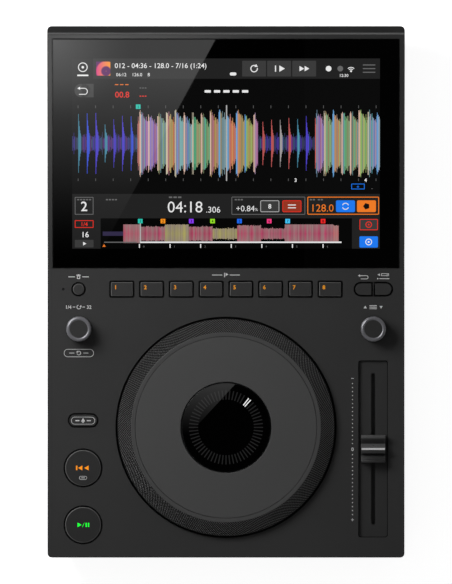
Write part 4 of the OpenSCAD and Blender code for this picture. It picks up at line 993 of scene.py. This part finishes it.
DELETE_X, BACK_X, TAG_X, ROW_Y = -104.1, 96.95, 111.05, 2
BIN_Y, FLAG_Y, LOOP_Y, LIST_Y, PILL_Y = 10.7, 12, -10.6, -10.7, -43.1
ROUND_X, SHIFT_Y, CUE_Y, PLAY_Y = -100.9, -90.6, -124.2, -164.4
CAP_X, CAP_Y = 103.9, -110.8
SCALE_X, SCALE_BACK, SCALE_FRONT, SCALE_STEP = 89.3, -64.65, -114.85, 2.82

printed(
    "deck_legends", "chassis", pale_ink, on_deck,
    # a bin for the delete key
    panel(DELETE_X, BIN_Y - 0.3, 2.2, 2.3, corner=0.3, line=0.45),
    bar(DELETE_X, BIN_Y + 1.2, 3.2, 0.5),
    bar(DELETE_X, BIN_Y + 1.6, 1.1, 0.4),
    *bars((DELETE_X - 4.9, DELETE_X + 4.9), BIN_Y, 4.6, 0.55),
    # a flag for the hot cues
    *bars((-6.2, 6.2), FLAG_Y, 7.2, 0.55),
    bar(-1, FLAG_Y, 0.6, 3.1),
    arrow(0.4, FLAG_Y + 0.4, 1.3),
    # an arrow back and a tag
    arc(BACK_X + 2.2, 10.4, 1.15, 0.5, -90, 90),
    bar(BACK_X + 0.2, 9.25, 4, 0.5),
    bar(BACK_X - 0.1, 11.55, 4.6, 0.5),
    arrow(BACK_X - 2.8, 11.55, 1.1, 180),
    panel(TAG_X + 1.2, 12.2, 5.6, 1.9, corner=0.4, line=0.45),
    arrow(TAG_X - 3, 12.2, 1.1, 180),
    disc(TAG_X + 2.8, 12.2, 0.35),
    disc(TAG_X - 3.9, 9.4, 0.45),
    bar(TAG_X + 0.8, 9.4, 7, 0.55),
    # a loop between its shortest and longest length
    arc(-KNOB_X, LOOP_Y, 1.35, 0.5, 100, 350),
    arrow(-KNOB_X + 1.35, LOOP_Y + 0.5, 0.95, 80),
    figures("1/4", -KNOB_X - 7.4, LOOP_Y - 1.25, 2.5, weight=0.06),
    figures("32", -KNOB_X + 7.2, LOOP_Y - 1.25, 2.5, weight=0.06),
    *bars((-KNOB_X - 3.4, -KNOB_X + 3.4), LOOP_Y, 1.8, 0.5),
    # a list with arrows
    *[bar(KNOB_X, LIST_Y + rise, 5.2, 0.5) for rise in (1.1, 0, -1.1)],
    arrow(KNOB_X - 5.6, LIST_Y - 0.2, 1.35, 90),
    arrow(KNOB_X + 5.6, LIST_Y + 0.2, 1.35, -90),
    # the tempo scale
    figures("0", SCALE_X, -112.2, 2.5, weight=0.09),
    bar(SCALE_X, -61, 1.8, 0.45),
    bar(SCALE_X, -160.8, 1.9, 0.45),
    bar(SCALE_X, -160.8, 0.45, 1.9),
    *[
        disc(SCALE_X, start - SCALE_STEP * number, 0.4, corners=12)
        for start in (SCALE_BACK, SCALE_FRONT)
        for number in range(16)
    ],
)
printed(
    "deck_pill", "chassis", ink("soft_ink", grey(214)), on_deck,
    panel(-KNOB_X, PILL_Y, 21.2, 5.7, corner=2.8, line=0.4),
    arc(-KNOB_X, PILL_Y, 1.3, 0.5, -170, 130),
    arrow(-KNOB_X - 1.1, PILL_Y + 0.8, 0.95, 210),
    *bars((-KNOB_X - 5, -KNOB_X + 5), PILL_Y, 3.6, 0.5),
)

SHADE_LINE, CUES_LEFT, CUE_STEP, PIN_X, PAIR_X = 0.35, -94.5, 21, -114.85, 104


def edge(x, y, width, height, corner):
    """Dark line painted as shade along the outside of an opening."""
    return panel(x, y, width + 2 * SHADE_LINE, height + 2 * SHADE_LINE, corner, SHADE_LINE)


def round_edge(x, y, radius, corners):
    """Dark line painted as shade along the outside of a round opening."""
    return disc(x, y, radius + SHADE_LINE, corners, line=SHADE_LINE)


# Near-black lines painted round the openings of keys, pin and wheel, as the shade in their gaps.
printed(
    "opening_shadow_lines", "chassis", ink("opening_shadow_ink", grey(5), shine=0.04), on_deck,
    *[edge(CUES_LEFT + CUE_STEP * number, ROW_Y, 17.1, 11.5, 1.45) for number in HOT_CUES],
    round_edge(DELETE_X, ROW_Y, 4.75, 40),
    round_edge(PIN_X, ROW_Y, 0.5, 16),
    edge(PAIR_X, ROW_Y, 27.1, 9.8, 5.15),
    *bars([PAIR_X + side * (0.55 - SHADE_LINE / 4) for side in (-1, 1)], ROW_Y, SHADE_LINE / 2, 9.8),
    edge(ROUND_X, SHIFT_Y, 21, 9.6, 5.05),
    *[round_edge(ROUND_X, y, 13.4, 64) for y in (CUE_Y, PLAY_Y)],
    round_edge(0, JOG_Y / MM, 77.7, ROUND_STEPS),
)
# Dark line painted round the foot of the fader recess walls, as shade.
printed(
    "recess_shadow_line", "chassis", ink("recess_shadow_ink", grey(14), shine=0.1), raised(61.5 * MM),
    panel(CAP_X, CAP_Y, 20.7, 124.8, 2, 0.4),
)


def on_key(node):
    """Place of a print on the top of a key."""
    return raised(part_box(node)[1].z)


for number in HOT_CUES:
    key = "hot_cue_key_%d" % number
    low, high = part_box(key)
    mark = figures(str(number), (low.x + high.x) / 2 / MM - 5.4, 2, 2.8, "LEFT", 0.1)
    printed("hot_cue_number_%d" % number, "hot_cue_%d" % number, orange_ink, on_key(key), mark)
printed(
    "shift_mark", "shift_button", pale_ink, on_key("shift_key"),
    panel(ROUND_X, SHIFT_Y - 0.2, 16.8, 5.3, corner=2.6, line=0.3),
    arrow(ROUND_X, SHIFT_Y, 1.7, 90),
    bar(ROUND_X, SHIFT_Y - 1.1, 1.2, 1.2),
    *bars((ROUND_X - 4, ROUND_X + 4), SHIFT_Y - 0.2, 2.8, 0.8),
)
printed(
    "cue_mark", "cue_button", orange_light, on_key("cue_key"),
    bar(ROUND_X - 4.5, CUE_Y, 1, 3.2),
    *[arrow(ROUND_X + right, CUE_Y, 2, 180) for right in (-1.5, 2.9)],
)
printed(
    "cue_pill", "cue_button", pale_ink, on_key("cue_key"),
    panel(ROUND_X, CUE_Y - 7, 5.5, 2.6, corner=1.2, line=0.35),
    bar(ROUND_X, CUE_Y - 7, 2.6, 0.5),
)
printed(
    "play_mark", "play_button", green_light, on_key("play_key"),
    arrow(ROUND_X - 3, PLAY_Y, 1.9),
    bar(ROUND_X + 0.2, PLAY_Y, 0.35, 3.4, turn=-24),
    *bars((ROUND_X + 2.2, ROUND_X + 3.9), PLAY_Y, 0.9, 2.9),
)

# ---- fader cap

CAP_FOOT, CAP_TOP, CAP_HALF_W = 62.3, 72, 8.55
CAP_BACK = [
    (9.85, 0), (9.55, 8.4), (9, 8.8), (7.7, 8.8), (7, 8.45), (6.2, 7.8), (5.2, 6.9),
    (4.3, 5.8),
]
CAP_CREST = [
    (3.7, 5.5), (1.2, 9.5), (0.9, 9.7), (-0.9, 9.7), (-1.2, 9.6), (-2.2, 9.1), (-2.9, 8.5),
    (-3.3, 5.6),
]
CAP_FRONT = [
    (-4, 5.4), (-5, 6.2), (-7.3, 7.3), (-7.8, 8.45), (-8.2, 8.6), (-9.2, 8.6),
    (-9.6, 8.3), (-9.85, 0),
]


def cap_moulding():
    """Moulded cap whose bands are painted in tones of light and shade: the back faces and the
    front of the crest painted light as highlight, the fold in front painted dark as shade.
    """
    finish = Finish("fader_cap_plastic")
    away = finish.y - CAP_Y * MM
    rising = (away > 7.5 * MM) + (away > 0.8 * MM) * (away < 3.8 * MM)
    falling = (away < -0.7 * MM) * (away > -3.3 * MM)
    crease = (away < -3.3 * MM) * (away > -5 * MM)
    # Painted highlight on the back faces and on the front of the crest, painted shade in the fold
    # in front of it.
    base = finish.mix(rising, grey(50), grey(90))
    base = finish.mix(falling, base, grey(66))
    base = finish.mix(crease, base, grey(34))
    grain = finish.noise(3200)
    normal = finish.bump(grain, 0.25, finish.soft_edges(0.15))
    return finish.surface(base, grain.ramp(0.3, 0.7, 0.38, 0.44), normal=normal)


def on_side(edge):
    """True for the edges of the two flat sides, but for those near the foot."""
    start, end = (point.co for point in edge.verts)
    return abs(start.x - end.x) < 1e-6 and start.z > (CAP_FOOT + 1) * MM


outline = CAP_BACK + CAP_CREST + CAP_FRONT
left = (CAP_X - CAP_HALF_W) * MM
chain([(left, (CAP_Y + along) * MM, (CAP_FOOT + height) * MM) for along, height in outline])
mesh.edge_face_add()
mesh.extrude_region_move(TRANSFORM_OT_translate={"value": (2 * CAP_HALF_W * MM, 0, 0)})
mesh.select_all(action="SELECT")
mesh.normals_make_consistent(inside=False)
pick("EDGE", on_side)
mesh.bevel(offset=0.35 * MM, segments=2, affect="EDGES")
cap_plastic = cap_moulding()
mount(leave(), "fader_cap_shell", "tempo_slider", cap_plastic, ["fader_cap"], smooth=25)
line = bar(CAP_X, CAP_Y + 0.08, 16.6, 1.35)
white_ink = ink("white_ink", grey(240))
printed("fader_cap_line", "tempo_slider", white_ink, raised(CAP_TOP * MM), line)

# ---- stage, lamps and camera


def lamp(name, place, target, size, power, glossy=True):
    data = bpy.data.lights.new(name, "AREA")
    data.size = size
    data.energy = power
    made = bpy.data.objects.new(name, data)
    bpy.context.scene.collection.objects.link(made)
    made.location = place
    made.rotation_euler = (Vector(target) - Vector(place)).to_track_quat("-Z", "Y").to_euler()
    made.visible_glossy = glossy


lamp("key_lamp", (-0.44, 0.31, 0.62), (0, -0.03, 0.06), 0.4, 3.75)
lamp("fill_lamp", (0.1, -0.2, 2.6), (0, 0, 0), 2.4, 7, glossy=False)


def reflector(name, low, high, pose, picture):
    """Card that only polished surfaces see. The picture gives its brightness over its plane."""
    choose()
    mesh.primitive_plane_add(size=1)
    card = bpy.context.object
    card.name = name
    card.scale = (high[0] - low[0], high[1] - low[1], 1)
    card.location = ((high[0] + low[0]) / 2, (high[1] + low[1]) / 2, 0)
    settle(card)
    card.matrix_world = pose
    card.visible_camera = card.visible_diffuse = card.visible_shadow = False
    card.visible_transmission = card.visible_volume_scatter = False
    finish = Finish(name)
    card.data.materials.append(finish.end(finish.emission(picture(finish.x, finish.y))))


def left_of(across, along, x, y, run, rise):
    """What lies left of a line through a point, as it goes that far across and along."""
    return ((across - x * MM) * rise - (along - y * MM) * run) < 0


def screen_highlight(across, along):
    """Slanting light that fades towards the player, with a bright corner at the back left."""
    fade = along.ramp(-78.6 * MM, 64.9 * MM) ** 2.1
    corner = span(across + 133 * MM, along - 96 * MM).ramp(0, 64 * MM, 1, 0) ** 1.5
    return left_of(across, along, -8.2, 95.9, 101.2, 187.6) * (fade * 1.28 + corner * 1.7)


def window_highlight(across, along):
    """The same light on the window of the wheel."""
    fade = along.ramp(-104 * MM, -67.6 * MM) ** 1.6
    return left_of(across, along, 6.6, -66.3, 26.1, 28.3) * fade * 0.75


tipped = Matrix.Translation((0, -0.2114, 1.028)) @ Matrix.Rotation(2 * SCREEN_TILT, 4, "X")
reflector("screen_reflector", (-0.16, -0.1), (0.06, 0.125), tipped, screen_highlight)
overhead = Matrix.Translation((0, 0, 0.3))
reflector("window_reflector", (-0.036, -0.134), (0.036, -0.0635), overhead, window_highlight)

choose()
mesh.primitive_plane_add(size=8)
floor = bpy.context.object
floor.name = "floor"
finish = Finish("floor_paper")
fibre = finish.mix(finish.noise(3, 3), grey(228), grey(230))
paper = finish.node("BsdfDiffuse", None, {"Color": fibre})
path = finish.node("LightPath")
lift = finish.emission(path.out("Is Camera Ray") * 0.885 + path.out("Is Glossy Ray") * 0.3)
both = finish.node("AddShader", None, {0: paper, 1: lift})
floor.data.materials.append(finish.end(both))

sky = Finish("studio", bpy.data.worlds.new("studio"))
height = sky.node("SeparateXYZ", None, {0: sky.spot.out("Generated")}).out("Z")
seen = sky.node("LightPath").out("Is Camera Ray")
shade = height.ramp(0.15, 0.75, 0.28, 0.01) * (1 - seen) + seen
back = sky.node("Background", None, {"Color": WHITE, "Strength": shade})
bpy.context.scene.world = sky.end(back, "OutputWorld")

CAMERA_RISE = 11.453
lens = bpy.data.cameras.new("camera")
lens.lens = 1000
lens.sensor_fit = "AUTO"
lens.sensor_width = 36
lens.clip_start, lens.clip_end = 0.1, 20
camera = bpy.data.objects.new("camera", lens)
bpy.context.scene.collection.objects.link(camera)
camera.location = (0, 0, DECK_Z + CAMERA_RISE)
bpy.context.scene.camera = camera
bpy.context.scene.view_settings.view_transform = "Standard"
